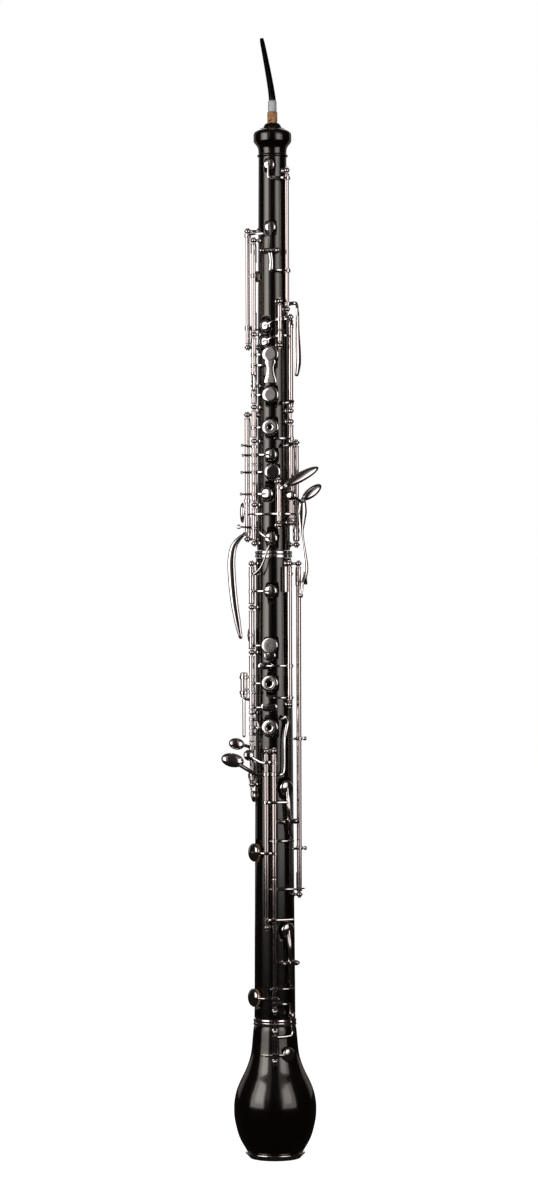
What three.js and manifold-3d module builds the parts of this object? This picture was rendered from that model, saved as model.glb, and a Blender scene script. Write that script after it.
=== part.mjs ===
// English horn in millimetres.
// The bore is the Z axis, the bell's rim stands at height 0 and the bocal points up.
// Angles are degrees round the bore: 0 is the front of the instrument (-Y) and 90 is its +X side.
import * as THREE from "three";
import { mergeVertices } from "three/addons/utils/BufferGeometryUtils.js";
import Module from "manifold-3d";

const wasm = await Module();
wasm.setup();

// Driving sizes of the wooden body
const bellHeight = 103.5;
const bellRadius = 32.1;
const bellNeckRadius = 16.2;
const bellWall = 5.1;
const mouthRadius = 16.4;
const lowerLength = 358;
const lowerTopRadius = 13.9;
const lowerBottomRadius = 16;
const upperLength = 333;
const upperBottomRadius = 12.9;
const neckRadius = 10.9;
const crownRadius = 14.8;
const finialHeight = 26.9;
const boreTopRadius = 3.3;
const boreMiddleRadius = 5.2;
const boreLowRadius = 8;

// Metal rings, tenons and corks
const rimRingHeight = 5.2;
const rimRingRadius = 23.2;
const socketRingHeight = 5.5;
const socketRingRadius = 14.6;
const bellRingHeight = 5.5;
const bellRingRadius = 16.8;
const tenonLength = 21;
const upperTenonRadius = 8.4;
const lowerTenonRadius = 11;
const tenonCorkWall = 1.4;
const corkLength = 13;

// Bocal
const bocalRise = 69.2;
const bocalTipRadius = 1.7;
const bocalFootRadius = 2.8;
const bocalBoreRadius = 1;
const bocalLeanLeft = 8.2;
const bocalLeanBack = 20;
const ferruleRadius = 3.35;
const ferruleHeight = 8.7;
const bocalCorkRadius = 3.9;
const bocalCorkShow = 8.9;
const bocalSocketDepth = 16;

// Keywork
const rodRadius = 1;
const tubeRadius = 1.95;
const tubeBoreRadius = 1.5;
const postBallRadius = 2.2;
const postStalkRadius = 1.2;
const postFootRadius = 2.4;
const postFootHeight = 0.9;
const armRadius = 1;
const padThickness = 1.2;
const cupHeight = 1.7;
const padInset = 0.5;
const touchThickness = 1.5;
const seatDepth = 0.9;
const plateRadius = 6.7;
const cupRadius = 5.4;
const smallCupRadius = 4.6;
const openCupRadius = 7.2;
const plateHoleRadius = 1.9;
const toneHoleRadius = 2.6;
const smallHoleRadius = 1.2;
const innerStandoff = 3.7;
const middleStandoff = 5.1;
const outerStandoff = 7.8;
const rockerHalfSpan = 6;
const tailLift = 2.3;
const overTube = 3.6;

// Touches
const leafWidth = 6.8;
const leafReach = 37;

// Clearances
const gap = 0.3;
const endPlay = 0.4;
const seatClearance = 0.6;
const overrun = 2;

// Thumb rest
const thumbPlateLength = 26;
const thumbPlateWidth = 13;
const thumbPlateThickness = 1.6;
const thumbHookReach = 17;
const thumbHookWidth = 12;
const strapRingRadius = 4.2;
const strapRingWire = 1;

// Counts of sides
const woodSides = 24;
const cupSides = 10;
const tubeSides = 8;
const smallSides = 6;
const armSides = 4;

// Levels of the three wooden pieces
const lowerFoot = bellHeight + gap + bellRingHeight + gap;
const upperFoot = lowerFoot + lowerLength + gap + socketRingHeight + gap;
const instrumentTop = upperFoot + upperLength;

// Outlines as shares
const finialShares = [
  [0.736, 0], [0.81, 0.05], [0.736, 0.1], [0.75, 0.23], [0.84, 0.35], [1, 0.45],
  [1, 0.64], [0.78, 0.78], [0.64, 0.84], [0.48, 0.86], [0.36, 1],
];
const bellSwellShares = [
  [0, 1], [0.04, 0.97], [0.1, 0.87], [0.15, 0.8], [0.24, 0.74], [0.42, 0.665], [0.66, 0.59],
  [0.87, 0.51], [0.98, 0.43], [1, 0.36], [0.95, 0.28], [0.74, 0.16], [0.4, 0.065],
];
const bellHollowShares = [
  [0.34, 0.77], [0.44, 0.7], [0.67, 0.6], [0.89, 0.5], [1, 0.36], [0.86, 0.16],
];

// Heights of posts, cups and arms as shares of the wooden piece that carries them.
// heights() turns upperShares.octaveTopShare into up.octaveTop, and so on.
const upperShares = {
  octaveTopShare: 0.886, octaveCupShare: 0.9, octaveArmShare: 0.868, octaveFootShare: 0.562,
  rockerCupShare: 0.754, rockerPinShare: 0.698, rockerTailShare: 0.652, sideTouchShare: 0.574,
  sideTouchEndShare: 0.41, thumbTopShare: 0.747, thumbArmShare: 0.737, thumbTouchShare: 0.52,
  thumbFootShare: 0.475, ventTopShare: 0.724, ventCupShare: 0.641, trillTopShare: 0.58,
  trillArmShare: 0.538, trillCupShare: 0.524, trillSplitShare: 0.512, lowTrillArmShare: 0.5,
  lowTrillCupShare: 0.487, trillFootShare: 0.477, rightTopShare: 0.544, rightArmShare: 0.524,
  rightTouchShare: 0.344, rightSplitShare: 0.325, stackTopShare: 0.504, halfPlateShare: 0.456,
  halfArmShare: 0.431, halfTailShare: 0.404, stackOneShare: 0.384, secondPlateShare: 0.362,
  stackTwoShare: 0.334, thirdPlateShare: 0.286, stackThreeShare: 0.255, flatCupShare: 0.222,
  stackFourShare: 0.2, gPlateShare: 0.182, stackFiveShare: 0.155, sharpCupShare: 0.131,
  stackSixShare: 0.106, curvedArmShare: 0.053, lowCupShare: 0.027, stackFootShare: 0.016,
  lowRightTopShare: 0.3, lowRightArmShare: 0.26, lowRightTouchShare: 0.245, lowRightFootShare: 0.064,
  flatLeverTopShare: 0.16, flatLeafTipShare: 0.193, flatLeafFootShare: 0.147, crossBarShare: 0.084,
  flatLeverFootShare: 0.058, leverTopShare: 0.252, leverLeafTipShare: 0.153, leverLeafFootShare: 0.118,
  teardropShare: 0.127, leverBaseShare: 0.111, leverBendShare: 0.02, leverFootShare: 0.013,
  sideTopShare: 0.317, sideFootShare: 0.026, sideLeverShare: 0.038,
};
const lowerShares = {
  topShare: 0.988, bridgeArmShare: 0.965, bridgeCupShare: 0.928, stackOneShare: 0.893,
  firstPlateShare: 0.81, stackTwoShare: 0.795, secondPlateShare: 0.728,
  stackThreeShare: 0.664, thirdPlateShare: 0.632, stackFourShare: 0.6, flatTouchShare: 0.597,
  flatCupShare: 0.482, flatArmShare: 0.53, flatTouchArmShare: 0.588, stackFootShare: 0.508,
  ventArmShare: 0.766, ventFootShare: 0.682, linkArmShare: 0.697, longLugShare: 0.945,
  longLowLugShare: 0.608, longArmShare: 0.37, longFootShare: 0.269, lowTopShare: 0.582,
  cTouchShare: 0.562, cTouchArmShare: 0.532, cArmShare: 0.471, cLowArmShare: 0.217, cFootShare: 0.2,
  sharpTouchShare: 0.573, sharpTouchArmShare: 0.558, crescentShare: 0.64, edgePlateShare: 0.676,
  sharpRockerShare: 0.387, sharpCupShare: 0.361, lowSplitShare: 0.307, lowLinkShare: 0.283,
  lowRockerShare: 0.067, lowCupShare: 0.046, bellLinkShare: 0.034, bellLinkTipShare: 0.008,
  lowFootShare: 0.018, rockerCupShare: 0.501, rockerPinShare: 0.429, rockerTailShare: 0.392,
  lowRockerCupShare: 0.193, lowRockerPinShare: 0.122, lowRockerTailShare: 0.073, thumbRestShare: 0.71,
};
const bellShares = {
  topShare: 0.975, armShare: 0.933, cupShare: 0.8, footShare: 0.753, linkTopShare: 1.1,
};

const silver = { color: 0xc9c6c4, roughness: 0.25, metalness: 1 };
const steel = { color: 0xb8b6b4, roughness: 0.3, metalness: 1 };
const blackwood = { color: 0x17120f, roughness: 0.35, metalness: 0 };
const corkFinish = { color: 0xc3916a, roughness: 0.9, metalness: 0 };
const blackMetal = { color: 0x16191a, roughness: 0.35, metalness: 1 };

// A closed geometry as a solid that can be joined and cut.
function solid(geometry) {
  const bare = geometry.index ? geometry.toNonIndexed() : geometry.clone();
  bare.deleteAttribute("normal");
  bare.deleteAttribute("uv");
  const merged = mergeVertices(bare, gap / 1000);
  const mesh = new wasm.Mesh({
    numProp: 3,
    vertProperties: new Float32Array(merged.attributes.position.array),
    triVerts: new Uint32Array(merged.index.array),
  });
  return new wasm.Manifold(mesh);
}

function join(...solids) {
  return solids.flat(Infinity).reduce((whole, piece) => whole.add(piece));
}

function cut(whole, ...tools) {
  return tools.flat(Infinity).reduce((left, tool) => left.subtract(tool), whole);
}

function geometryOf(shape) {
  const mesh = shape.simplify(gap / 10).getMesh();
  const geometry = new THREE.BufferGeometry();
  geometry.setAttribute("position", new THREE.BufferAttribute(mesh.vertProperties, 3));
  geometry.setIndex(new THREE.BufferAttribute(mesh.triVerts, 1));
  return geometry;
}

function radians(degrees) {
  return THREE.MathUtils.degToRad(degrees);
}

// A point at a radius from the bore, an angle round it and a height.
function polar(radius, degrees, height) {
  const turn = radians(degrees);
  return new THREE.Vector3(radius * Math.sin(turn), -radius * Math.cos(turn), height);
}

// Moves a shape made along Y so that Y points along `up` and Z along `along`.
function oriented(geometry, origin, up, along) {
  const y = up.clone().normalize();
  const x = new THREE.Vector3().crossVectors(y, along).normalize();
  const z = new THREE.Vector3().crossVectors(x, y);
  const matrix = new THREE.Matrix4().makeBasis(x, y, z).setPosition(origin);
  return geometry.applyMatrix4(matrix);
}

function sideways(direction) {
  const vertical = Math.abs(direction.clone().normalize().z) > 0.9;
  return vertical ? new THREE.Vector3(1, 0, 0) : new THREE.Vector3(0, 0, 1);
}

// A round bar from one point to another, tapering if the two radii differ.
function bar(from, to, radius = armRadius, endRadius = radius, sides = smallSides) {
  const direction = to.clone().sub(from);
  const geometry = new THREE.CylinderGeometry(endRadius, radius, direction.length(), sides);
  const middle = from.clone().add(to).multiplyScalar(0.5);
  return solid(oriented(geometry, middle, direction, sideways(direction)));
}

// A bent arm: bars through a list of points.
function arm(points, radius = armRadius) {
  const bars = [];
  for (let i = 1; i < points.length; i += 1) {
    bars.push(bar(points[i - 1], points[i], radius, radius, armSides));
  }
  return join(bars);
}

// A turned shape: a profile of [radius, height] pairs round an axis.
function turned(profile, sides) {
  const points = profile.map(([radius, height]) => new THREE.Vector2(radius, height));
  return new THREE.LatheGeometry(points, sides);
}

// The same, standing upright on the bore's axis.
function upright(profile, sides) {
  return solid(turned(profile, sides).rotateX(Math.PI / 2));
}

// An oval plate that bulges on its outer face.
function oval(centre, facing, along, halfLength, halfWidth, thickness = touchThickness) {
  const dome = turned([[0, 0], [1, 0], [0.8, 1], [0, 1]], cupSides);
  dome.scale(halfWidth, thickness, halfLength);
  return solid(oriented(dome, centre, facing, along));
}

// Radius of a wooden piece's outside at a height above its foot.
function taper(bottomRadius, topRadius, length) {
  return (height) => bottomRadius + (topRadius - bottomRadius) * (height / length);
}

function bellOutside(height) {
  const share = height / bellHeight;
  const at = bellSwellShares.findIndex((pair) => pair[1] <= share);
  const [highSwell, highShare] = bellSwellShares[Math.max(at - 1, 0)];
  const [lowSwell, lowShare] = bellSwellShares[at];
  const part = highShare === lowShare ? 0 : (share - lowShare) / (highShare - lowShare);
  return bellNeckRadius + (bellRadius - bellNeckRadius) * (lowSwell + (highSwell - lowSwell) * part);
}

// The three wooden pieces, each measured from its own shoulder
const upperPiece = { outside: taper(upperBottomRadius, neckRadius, upperLength - finialHeight) };
const lowerPiece = { outside: taper(lowerBottomRadius, lowerTopRadius, lowerLength) };
const bellPiece = { outside: bellOutside };

function heights(shares, length) {
  const entries = Object.entries(shares).map(([name, share]) => [name.replace("Share", ""), share * length]);
  return Object.fromEntries(entries);
}

const up = heights(upperShares, upperLength);
const low = heights(lowerShares, lowerLength);
const bel = heights(bellShares, bellHeight);

// Groups that carry the pieces
const horn = new THREE.Group();
const bellGroup = new THREE.Group();
const lowerGroup = new THREE.Group();
const upperGroup = new THREE.Group();
const bocalGroup = new THREE.Group();
lowerGroup.position.z = lowerFoot;
upperGroup.position.z = upperFoot;
bocalGroup.position.z = instrumentTop;
horn.add(bellGroup, lowerGroup, upperGroup, bocalGroup);

function add(group, name, shape, finish, origin = new THREE.Vector3()) {
  const geometry = geometryOf(shape);
  geometry.translate(-origin.x, -origin.y, -origin.z);
  const mesh = new THREE.Mesh(geometry, new THREE.MeshStandardMaterial(finish));
  mesh.name = name;
  mesh.position.copy(origin);
  group.add(mesh);
  return mesh;
}

// A hinge line beside a wooden piece, parallel to the bore.
function hingeLine(piece, angle, foot, standoff) {
  return { piece, angle, radius: piece.outside(foot) + standoff };
}

function onLine(line, height) {
  return polar(line.radius, line.angle, height);
}

// A turned post that stands on the wood and carries a rod's end.
function post(piece, reach, angle, height) {
  const foot = Math.max(piece.outside(height - postFootRadius), piece.outside(height + postFootRadius));
  const base = foot + gap;
  const rise = reach - base;
  const waist = postStalkRadius;
  const profile = [
    [0, 0], [postFootRadius, 0], [waist, postFootHeight], [waist, rise - postBallRadius],
    [postBallRadius, rise], [waist, rise + postBallRadius], [0, rise + postBallRadius],
  ];
  const outward = polar(1, angle, 0);
  const origin = polar(base, angle, height);
  return solid(oriented(turned(profile, smallSides), origin, outward, new THREE.Vector3(0, 0, 1)));
}

// A steel rod along a hinge line with a post at each height of the list.
function rodWithPosts(line, stops) {
  const rod = bar(onLine(line, stops[0]), onLine(line, stops.at(-1)), rodRadius, rodRadius, tubeSides);
  return join(rod, stops.map((height) => post(line.piece, line.radius, line.angle, height)));
}

// A hinge tube between two heights. `play` is what it leaves free at each end.
const postPlay = postBallRadius + endPlay;
const meetPlay = endPlay / 2;
function key(line, from, to, shapes, fromPlay = postPlay, toPlay = postPlay) {
  const bottom = onLine(line, from + fromPlay);
  const top = onLine(line, to - toPlay);
  const outside = bar(bottom, top, tubeRadius, tubeRadius, tubeSides);
  const beyond = new THREE.Vector3(0, 0, overrun);
  const boreEnds = [bottom.clone().sub(beyond), top.clone().add(beyond)];
  const bore = bar(...boreEnds, tubeBoreRadius, tubeBoreRadius, tubeSides);
  return cut(join(outside, shapes), bore);
}

// A key is built closed and then turned about its rod by `rest` degrees.
function addKey(group, name, line, height, shape, rest = 0) {
  const mesh = add(group, name, shape, silver, onLine(line, height));
  mesh.rotation.z = radians(rest);
}

function seatRadius(piece, height) {
  return piece.outside(height) - seatDepth;
}

function cupTop(piece, height) {
  return seatRadius(piece, height) + gap + padThickness + cupHeight;
}

// A cup with its pad, lying on the seat of its tone hole.
function cup(piece, angle, height, radius) {
  const full = padThickness + cupHeight;
  const profile = [[0, 0], [radius - padInset, 0], [radius, padThickness], [radius * 0.85, full], [0, full]];
  const origin = polar(seatRadius(piece, height) + gap, angle, height);
  const shape = turned(profile, cupSides);
  return solid(oriented(shape, origin, polar(1, angle, 0), new THREE.Vector3(0, 0, 1)));
}

// What a drill leaves in the wood: a flat seat, and the tone hole down to the bore.
function seatCut(piece, angle, height, radius, hole) {
  const outward = polar(1, angle, 0);
  const seat = outward.clone().multiplyScalar(seatRadius(piece, height)).setZ(height);
  const outside = outward.clone().multiplyScalar(piece.outside(height) + overrun).setZ(height);
  const centre = new THREE.Vector3(0, 0, height);
  const flat = bar(seat, outside, radius + seatClearance, radius + seatClearance, cupSides);
  return [flat, bar(centre, outside, hole, hole, smallSides)];
}

// The bent arm from a hinge line to a point over a cup.
function reach(line, height, angle, radius, endHeight = height) {
  const middleRadius = (line.radius + radius) / 2 + armRadius;
  const middle = polar(middleRadius, (line.angle + angle) / 2, (height + endHeight) / 2);
  return arm([onLine(line, height), middle, polar(radius, angle, endHeight)]);
}

// An arm with the cup it carries.
function armedCup(line, armHeight, angle, height, radius) {
  const piece = line.piece;
  const over = cupTop(piece, height) + armRadius / 2;
  return [reach(line, armHeight, angle, over, height), cup(piece, angle, height, radius)];
}

// Wooden bodies
const bocalSocketRadius = bocalCorkRadius + gap;
const upperSocketRadius = upperTenonRadius + tenonCorkWall + gap + gap;
const bellSocketRadius = lowerTenonRadius + tenonCorkWall + gap + gap;
const upperSocketFloor = lowerLength + gap + socketRingHeight - tenonLength;
const bellSocketFloor = bellHeight + gap + bellRingHeight - tenonLength;
const bellFoot = rimRingHeight + gap;
const hollowRadius = bellRadius - bellWall;
const swellRadius = bellRadius - bellNeckRadius;

function ring(innerRadius, outerRadius, bottom, top, sides) {
  const profile = [
    [innerRadius, bottom], [outerRadius, bottom], [outerRadius, top], [innerRadius, top],
    [innerRadius, bottom],
  ];
  return upright(profile, sides);
}

const upperProfile = [
  [boreMiddleRadius, -tenonLength], [upperTenonRadius, -tenonLength], [upperTenonRadius, 0],
  [upperBottomRadius, 0],
  ...finialShares.map(([r, h]) => [r * crownRadius, upperLength - finialHeight + h * finialHeight]),
  [bocalSocketRadius, upperLength], [bocalSocketRadius, upperLength - bocalSocketDepth],
  [boreTopRadius, upperLength - bocalSocketDepth], [boreMiddleRadius, -tenonLength],
];
const lowerProfile = [
  [boreLowRadius, -tenonLength], [lowerTenonRadius, -tenonLength], [lowerTenonRadius, 0],
  [lowerBottomRadius, 0], [lowerTopRadius, lowerLength], [upperSocketRadius, lowerLength],
  [upperSocketRadius, upperSocketFloor], [boreMiddleRadius, upperSocketFloor], [boreLowRadius, -tenonLength],
];
const bellProfile = [
  [mouthRadius, bellFoot], [rimRingRadius - gap * 3, bellFoot],
  ...bellSwellShares.map(([r, h]) => [bellNeckRadius + r * swellRadius, h * bellHeight]).reverse(),
  [bellSocketRadius, bellHeight], [bellSocketRadius, bellSocketFloor], [boreLowRadius, bellSocketFloor],
  ...bellHollowShares.map(([r, h]) => [r * hollowRadius, h * bellHeight]),
  [mouthRadius, bellFoot],
];
const rimProfile = [
  [mouthRadius, 0], [rimRingRadius * 0.84, 0], [rimRingRadius, rimRingHeight * 0.7],
  [rimRingRadius * 0.98, rimRingHeight], [mouthRadius, rimRingHeight], [mouthRadius, 0],
];

// Angles of the hinge lines
const stackAngle = -64;
const plateAngle = -7;
const lowerStackAngle = -67;
const lowerPlateAngle = -9;

const octaveLine = hingeLine(upperPiece, 46, up.octaveFoot, innerStandoff);
const thumbLine = hingeLine(upperPiece, -85, up.thumbFoot, outerStandoff);
const trillLine = hingeLine(upperPiece, 20, up.trillFoot, innerStandoff);
const stackLine = hingeLine(upperPiece, stackAngle, up.stackFoot, innerStandoff);
const rightLine = hingeLine(upperPiece, 56, up.lowRightFoot, innerStandoff);
const leverLine = hingeLine(upperPiece, 85, up.leverFoot, middleStandoff);
const flatLine = hingeLine(upperPiece, 15, up.flatLeverFoot, innerStandoff);
const sideLine = hingeLine(upperPiece, -80, up.sideFoot, outerStandoff);
const lowStackLine = hingeLine(lowerPiece, lowerStackAngle, low.stackFoot, innerStandoff);
const ventLine = hingeLine(lowerPiece, 42, low.ventFoot, innerStandoff);
const longLine = hingeLine(lowerPiece, 70, low.longFoot, middleStandoff);
const cLine = hingeLine(lowerPiece, -19, low.cFoot, innerStandoff);
const lowLine = hingeLine(lowerPiece, 0, low.lowFoot, innerStandoff);
const bellLine = hingeLine(bellPiece, 0, bel.foot, innerStandoff);

// Seats and tone holes: angle, height, cup radius and hole radius
const upperSeats = [
  [-13, up.octaveCup, smallCupRadius, smallHoleRadius], [-9, up.rockerCup, smallCupRadius, smallHoleRadius],
  [-100, up.ventCup, smallCupRadius, smallHoleRadius], [-29, up.trillCup, smallCupRadius, smallHoleRadius],
  [-33, up.lowTrillCup, smallCupRadius, smallHoleRadius],
  [plateAngle, up.halfPlate, plateRadius, smallHoleRadius],
  [plateAngle, up.secondPlate, plateRadius, toneHoleRadius],
  [plateAngle, up.thirdPlate, plateRadius, toneHoleRadius],
  [-5, up.flatCup, cupRadius, toneHoleRadius], [0, up.gPlate, plateRadius, toneHoleRadius],
  [-23, up.sharpCup, cupRadius, toneHoleRadius], [-5, up.lowCup, cupRadius, toneHoleRadius],
];
const lowerSeats = [
  [-6, low.bridgeCup, cupRadius, toneHoleRadius],
  [lowerPlateAngle, low.firstPlate, plateRadius, toneHoleRadius],
  [lowerPlateAngle, low.secondPlate, plateRadius, toneHoleRadius],
  [lowerPlateAngle, low.thirdPlate, plateRadius, toneHoleRadius],
  [-80, low.flatCup, smallCupRadius, toneHoleRadius], [32, low.rockerCup, cupRadius, toneHoleRadius],
  [34, low.lowRockerCup, cupRadius, toneHoleRadius], [-62, low.sharpCup, openCupRadius, toneHoleRadius],
  [-62, low.lowCup, openCupRadius, toneHoleRadius],
];
const bellSeats = [[33, bel.cup, cupRadius, toneHoleRadius]];

function drilled(profile, piece, seats) {
  return cut(upright(profile, woodSides), seats.map((seat) => seatCut(piece, ...seat)));
}

add(upperGroup, "upper_joint", drilled(upperProfile, upperPiece, upperSeats), blackwood);
add(lowerGroup, "lower_joint", drilled(lowerProfile, lowerPiece, lowerSeats), blackwood);
add(bellGroup, "bell", drilled(bellProfile, bellPiece, bellSeats), blackwood);
add(bellGroup, "bell_rim_ring", upright(rimProfile, woodSides), silver);
const bellRingTop = bellHeight + gap + bellRingHeight;
const bellRing = ring(bellSocketRadius, bellRingRadius, bellHeight + gap, bellRingTop, woodSides);
add(bellGroup, "bell_socket_ring", bellRing, silver);
const socketRingTop = lowerLength + gap + socketRingHeight;
const socketRing = ring(upperSocketRadius, socketRingRadius, lowerLength + gap, socketRingTop, woodSides);
add(lowerGroup, "lower_socket_ring", socketRing, silver);

function tenonCork(tenonRadius) {
  const inner = tenonRadius + gap;
  const bottom = -tenonLength + gap * 3;
  return ring(inner, inner + tenonCorkWall, bottom, bottom + corkLength, woodSides);
}

add(upperGroup, "upper_tenon_cork", tenonCork(upperTenonRadius), corkFinish);
add(lowerGroup, "lower_tenon_cork", tenonCork(lowerTenonRadius), corkFinish);

// Hinge rods with their posts
function addRod(group, name, line, stops) {
  add(group, name, rodWithPosts(line, stops), steel);
}

addRod(upperGroup, "octave_rod", octaveLine, [up.octaveFoot, up.octaveTop]);
addRod(upperGroup, "thumb_lever_rod", thumbLine, [up.thumbFoot, up.thumbTop]);
addRod(upperGroup, "trill_rod", trillLine, [up.trillFoot, up.trillTop]);
const stackStops = [
  up.stackFoot, up.stackSix, up.stackThree, up.stackTwo, up.stackOne, up.stackTop, up.ventTop,
];
addRod(upperGroup, "left_stack_rod", stackLine, stackStops);
const rightStops = [up.lowRightFoot, up.lowRightTop, up.rightSplit, up.rightTop];
addRod(upperGroup, "right_trill_rod", rightLine, rightStops);
addRod(upperGroup, "low_b_lever_rod", leverLine, [up.leverFoot, up.leverTop]);
addRod(upperGroup, "left_little_finger_rod", flatLine, [up.flatLeverFoot, up.flatLeverTop]);
addRod(upperGroup, "side_lever_rod", sideLine, [up.sideFoot, up.sideTop]);
const lowStackStops = [low.stackFoot, low.stackThree, low.stackTwo, low.stackOne, low.top];
addRod(lowerGroup, "right_stack_rod", lowStackLine, lowStackStops);
addRod(lowerGroup, "right_vent_rod", ventLine, [low.ventFoot, low.top]);
addRod(lowerGroup, "long_rod", longLine, [low.longFoot, low.top]);
addRod(lowerGroup, "low_c_rod", cLine, [low.cFoot, low.lowTop]);
addRod(lowerGroup, "low_b_rod", lowLine, [low.lowFoot, low.lowTop]);
addRod(bellGroup, "bell_key_rod", bellLine, [bel.foot, bel.top]);

// Rockers turn on a short rod that lies across the body.
function crossLine(piece, angle, height) {
  return { piece, angle, height, radius: piece.outside(height) + innerStandoff };
}

function acrossPoint(line, offset) {
  const turn = radians(line.angle);
  const along = new THREE.Vector3(Math.cos(turn), Math.sin(turn), 0);
  return polar(line.radius, line.angle, line.height).addScaledVector(along, offset);
}

function addCrossRod(group, name, line) {
  const ends = [acrossPoint(line, -rockerHalfSpan), acrossPoint(line, rockerHalfSpan)];
  const posts = ends.map((end) => {
    const angle = THREE.MathUtils.radToDeg(Math.atan2(end.x, -end.y));
    return post(line.piece, Math.hypot(end.x, end.y), angle, end.z);
  });
  add(group, name, join(bar(ends[0], ends[1], rodRadius, rodRadius, tubeSides), posts), steel);
}

// A rocker is built closed and stands open by `rest` degrees.
function addRocker(group, name, line, [cupAngle, cupAt, radius], [tailAngle, tailAt], rest = 0) {
  const reachOut = rockerHalfSpan - postPlay;
  function across(half, thickness) {
    return bar(acrossPoint(line, -half), acrossPoint(line, half), thickness, thickness, tubeSides);
  }
  const tube = across(reachOut, tubeRadius);
  const bore = across(reachOut + overrun, tubeBoreRadius);
  const centre = acrossPoint(line, 0);
  const over = cupTop(line.piece, cupAt) + armRadius / 2;
  const stem = arm([centre, polar(over, cupAngle, cupAt)]);
  const tail = arm([centre, polar(line.radius, tailAngle, tailAt)]);
  const whole = join(tube, stem, tail, cup(line.piece, cupAngle, cupAt, radius));
  const mesh = add(group, name, cut(whole, bore), silver, centre);
  mesh.setRotationFromAxisAngle(polar(1, line.angle + 90, 0), radians(rest));
}

const rockerOpen = 4;
const octaveCross = crossLine(upperPiece, -9, up.rockerPin);
const sharpCross = crossLine(lowerPiece, 38, low.rockerPin);
const lowCross = crossLine(lowerPiece, 38, low.lowRockerPin);
addCrossRod(upperGroup, "octave_rocker_rod", octaveCross);
addCrossRod(lowerGroup, "c_sharp_rocker_rod", sharpCross);
addCrossRod(lowerGroup, "low_rocker_rod", lowCross);
const octaveRockerCup = [-9, up.rockerCup, smallCupRadius];
const sharpRockerCup = [32, low.rockerCup, cupRadius];
const lowRockerCup = [34, low.lowRockerCup, cupRadius];
addRocker(upperGroup, "first_octave_key", octaveCross, octaveRockerCup, [-6, up.rockerTail]);
addRocker(lowerGroup, "c_sharp_rocker", sharpCross, sharpRockerCup, [46, low.rockerTail], rockerOpen);
addRocker(lowerGroup, "low_rocker", lowCross, lowRockerCup, [44, low.lowRockerTail], rockerOpen);

// Keys of the upper joint
const vertical = new THREE.Vector3(0, 0, 1);
const spatulaReach = octaveLine.radius + overTube + armRadius;
const spatulaTop = polar(spatulaReach, 80, up.sideTouch);
const spatulaMiddle = polar(spatulaReach, 80, (up.sideTouch + up.sideTouchEnd) / 2);
const spatulaHalf = (up.sideTouch - up.sideTouchEnd) / 2 + armRadius;
const secondOctave = key(octaveLine, up.octaveFoot, up.octaveTop, [
  armedCup(octaveLine, up.octaveArm, -13, up.octaveCup, smallCupRadius),
  reach(octaveLine, up.rockerTail, -6, octaveCross.radius + tailLift + gap),
  arm([onLine(octaveLine, up.sideTouch), polar(spatulaReach, 62, up.sideTouch), spatulaTop]),
  oval(spatulaMiddle, polar(1, 65, 0), vertical, spatulaHalf, tubeRadius * 1.4),
]);
addKey(upperGroup, "second_octave_key", octaveLine, up.octaveFoot, secondOctave);

const thumbReach = thumbLine.radius * 0.79;
const thumbLever = key(thumbLine, up.thumbFoot, up.thumbTop, [
  reach(thumbLine, up.thumbArm, plateAngle, octaveCross.radius + tailLift),
  reach(thumbLine, up.thumbTouch, -180, thumbReach),
  oval(polar(thumbReach - gap, 180, up.thumbTouch), polar(1, 180, 0), vertical, plateRadius, cupRadius),
]);
addKey(upperGroup, "thumb_octave_lever", thumbLine, up.thumbFoot, thumbLever);

const ventOver = cupTop(upperPiece, up.ventCup) + armRadius / 2;
const upperVent = key(stackLine, up.stackTop, up.ventTop, [
  arm([onLine(stackLine, up.ventCup), polar(ventOver, -100, up.ventCup)]),
  cup(upperPiece, -100, up.ventCup, smallCupRadius),
]);
addKey(upperGroup, "upper_vent_key", stackLine, up.stackTop, upperVent);

const trillTail = trillLine.radius + tailLift;
const upperTrill = key(trillLine, up.trillSplit, up.trillTop, [
  armedCup(trillLine, up.trillArm, -29, up.trillCup, smallCupRadius),
  reach(trillLine, up.trillArm, 45, trillTail),
], meetPlay);
addKey(upperGroup, "upper_trill_key", trillLine, up.trillSplit, upperTrill);
const lowerTrill = key(trillLine, up.trillFoot, up.trillSplit, [
  armedCup(trillLine, up.lowTrillArm, -33, up.lowTrillCup, smallCupRadius),
  reach(trillLine, up.lowTrillArm, 42, trillTail),
], postPlay, meetPlay);
addKey(upperGroup, "lower_trill_key", trillLine, up.trillFoot, lowerTrill);

function smallTouch(line, height, angle) {
  const centre = polar(line.radius + tailLift, angle, height);
  const facing = new THREE.Vector3(0.1, -0.45, 0.9);
  const along = polar(1, angle + 90, 0);
  return [arm([onLine(line, height), centre]), oval(centre, facing, along, cupRadius, tubeRadius)];
}

const upperTrillLever = key(rightLine, up.rightSplit, up.rightTop, [
  reach(rightLine, up.rightArm, 42, trillTail + tailLift + gap, up.trillArm),
  smallTouch(rightLine, up.rightTouch, 40),
]);
addKey(upperGroup, "upper_trill_lever", rightLine, up.rightSplit, upperTrillLever);
const lowerTrillLever = key(rightLine, up.lowRightFoot, up.lowRightTop, [
  reach(rightLine, up.lowRightArm, 3, rightLine.radius + armRadius),
  smallTouch(rightLine, up.lowRightTouch, 40),
]);
addKey(upperGroup, "lower_trill_lever", rightLine, up.lowRightFoot, lowerTrillLever);

const halfOver = cupTop(upperPiece, up.halfPlate) - touchThickness;
function frontOval(height, halfHeight, halfWidth, radius, angle) {
  return oval(polar(radius, angle, height), polar(1, angle, 0), vertical, halfHeight, halfWidth);
}

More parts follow.
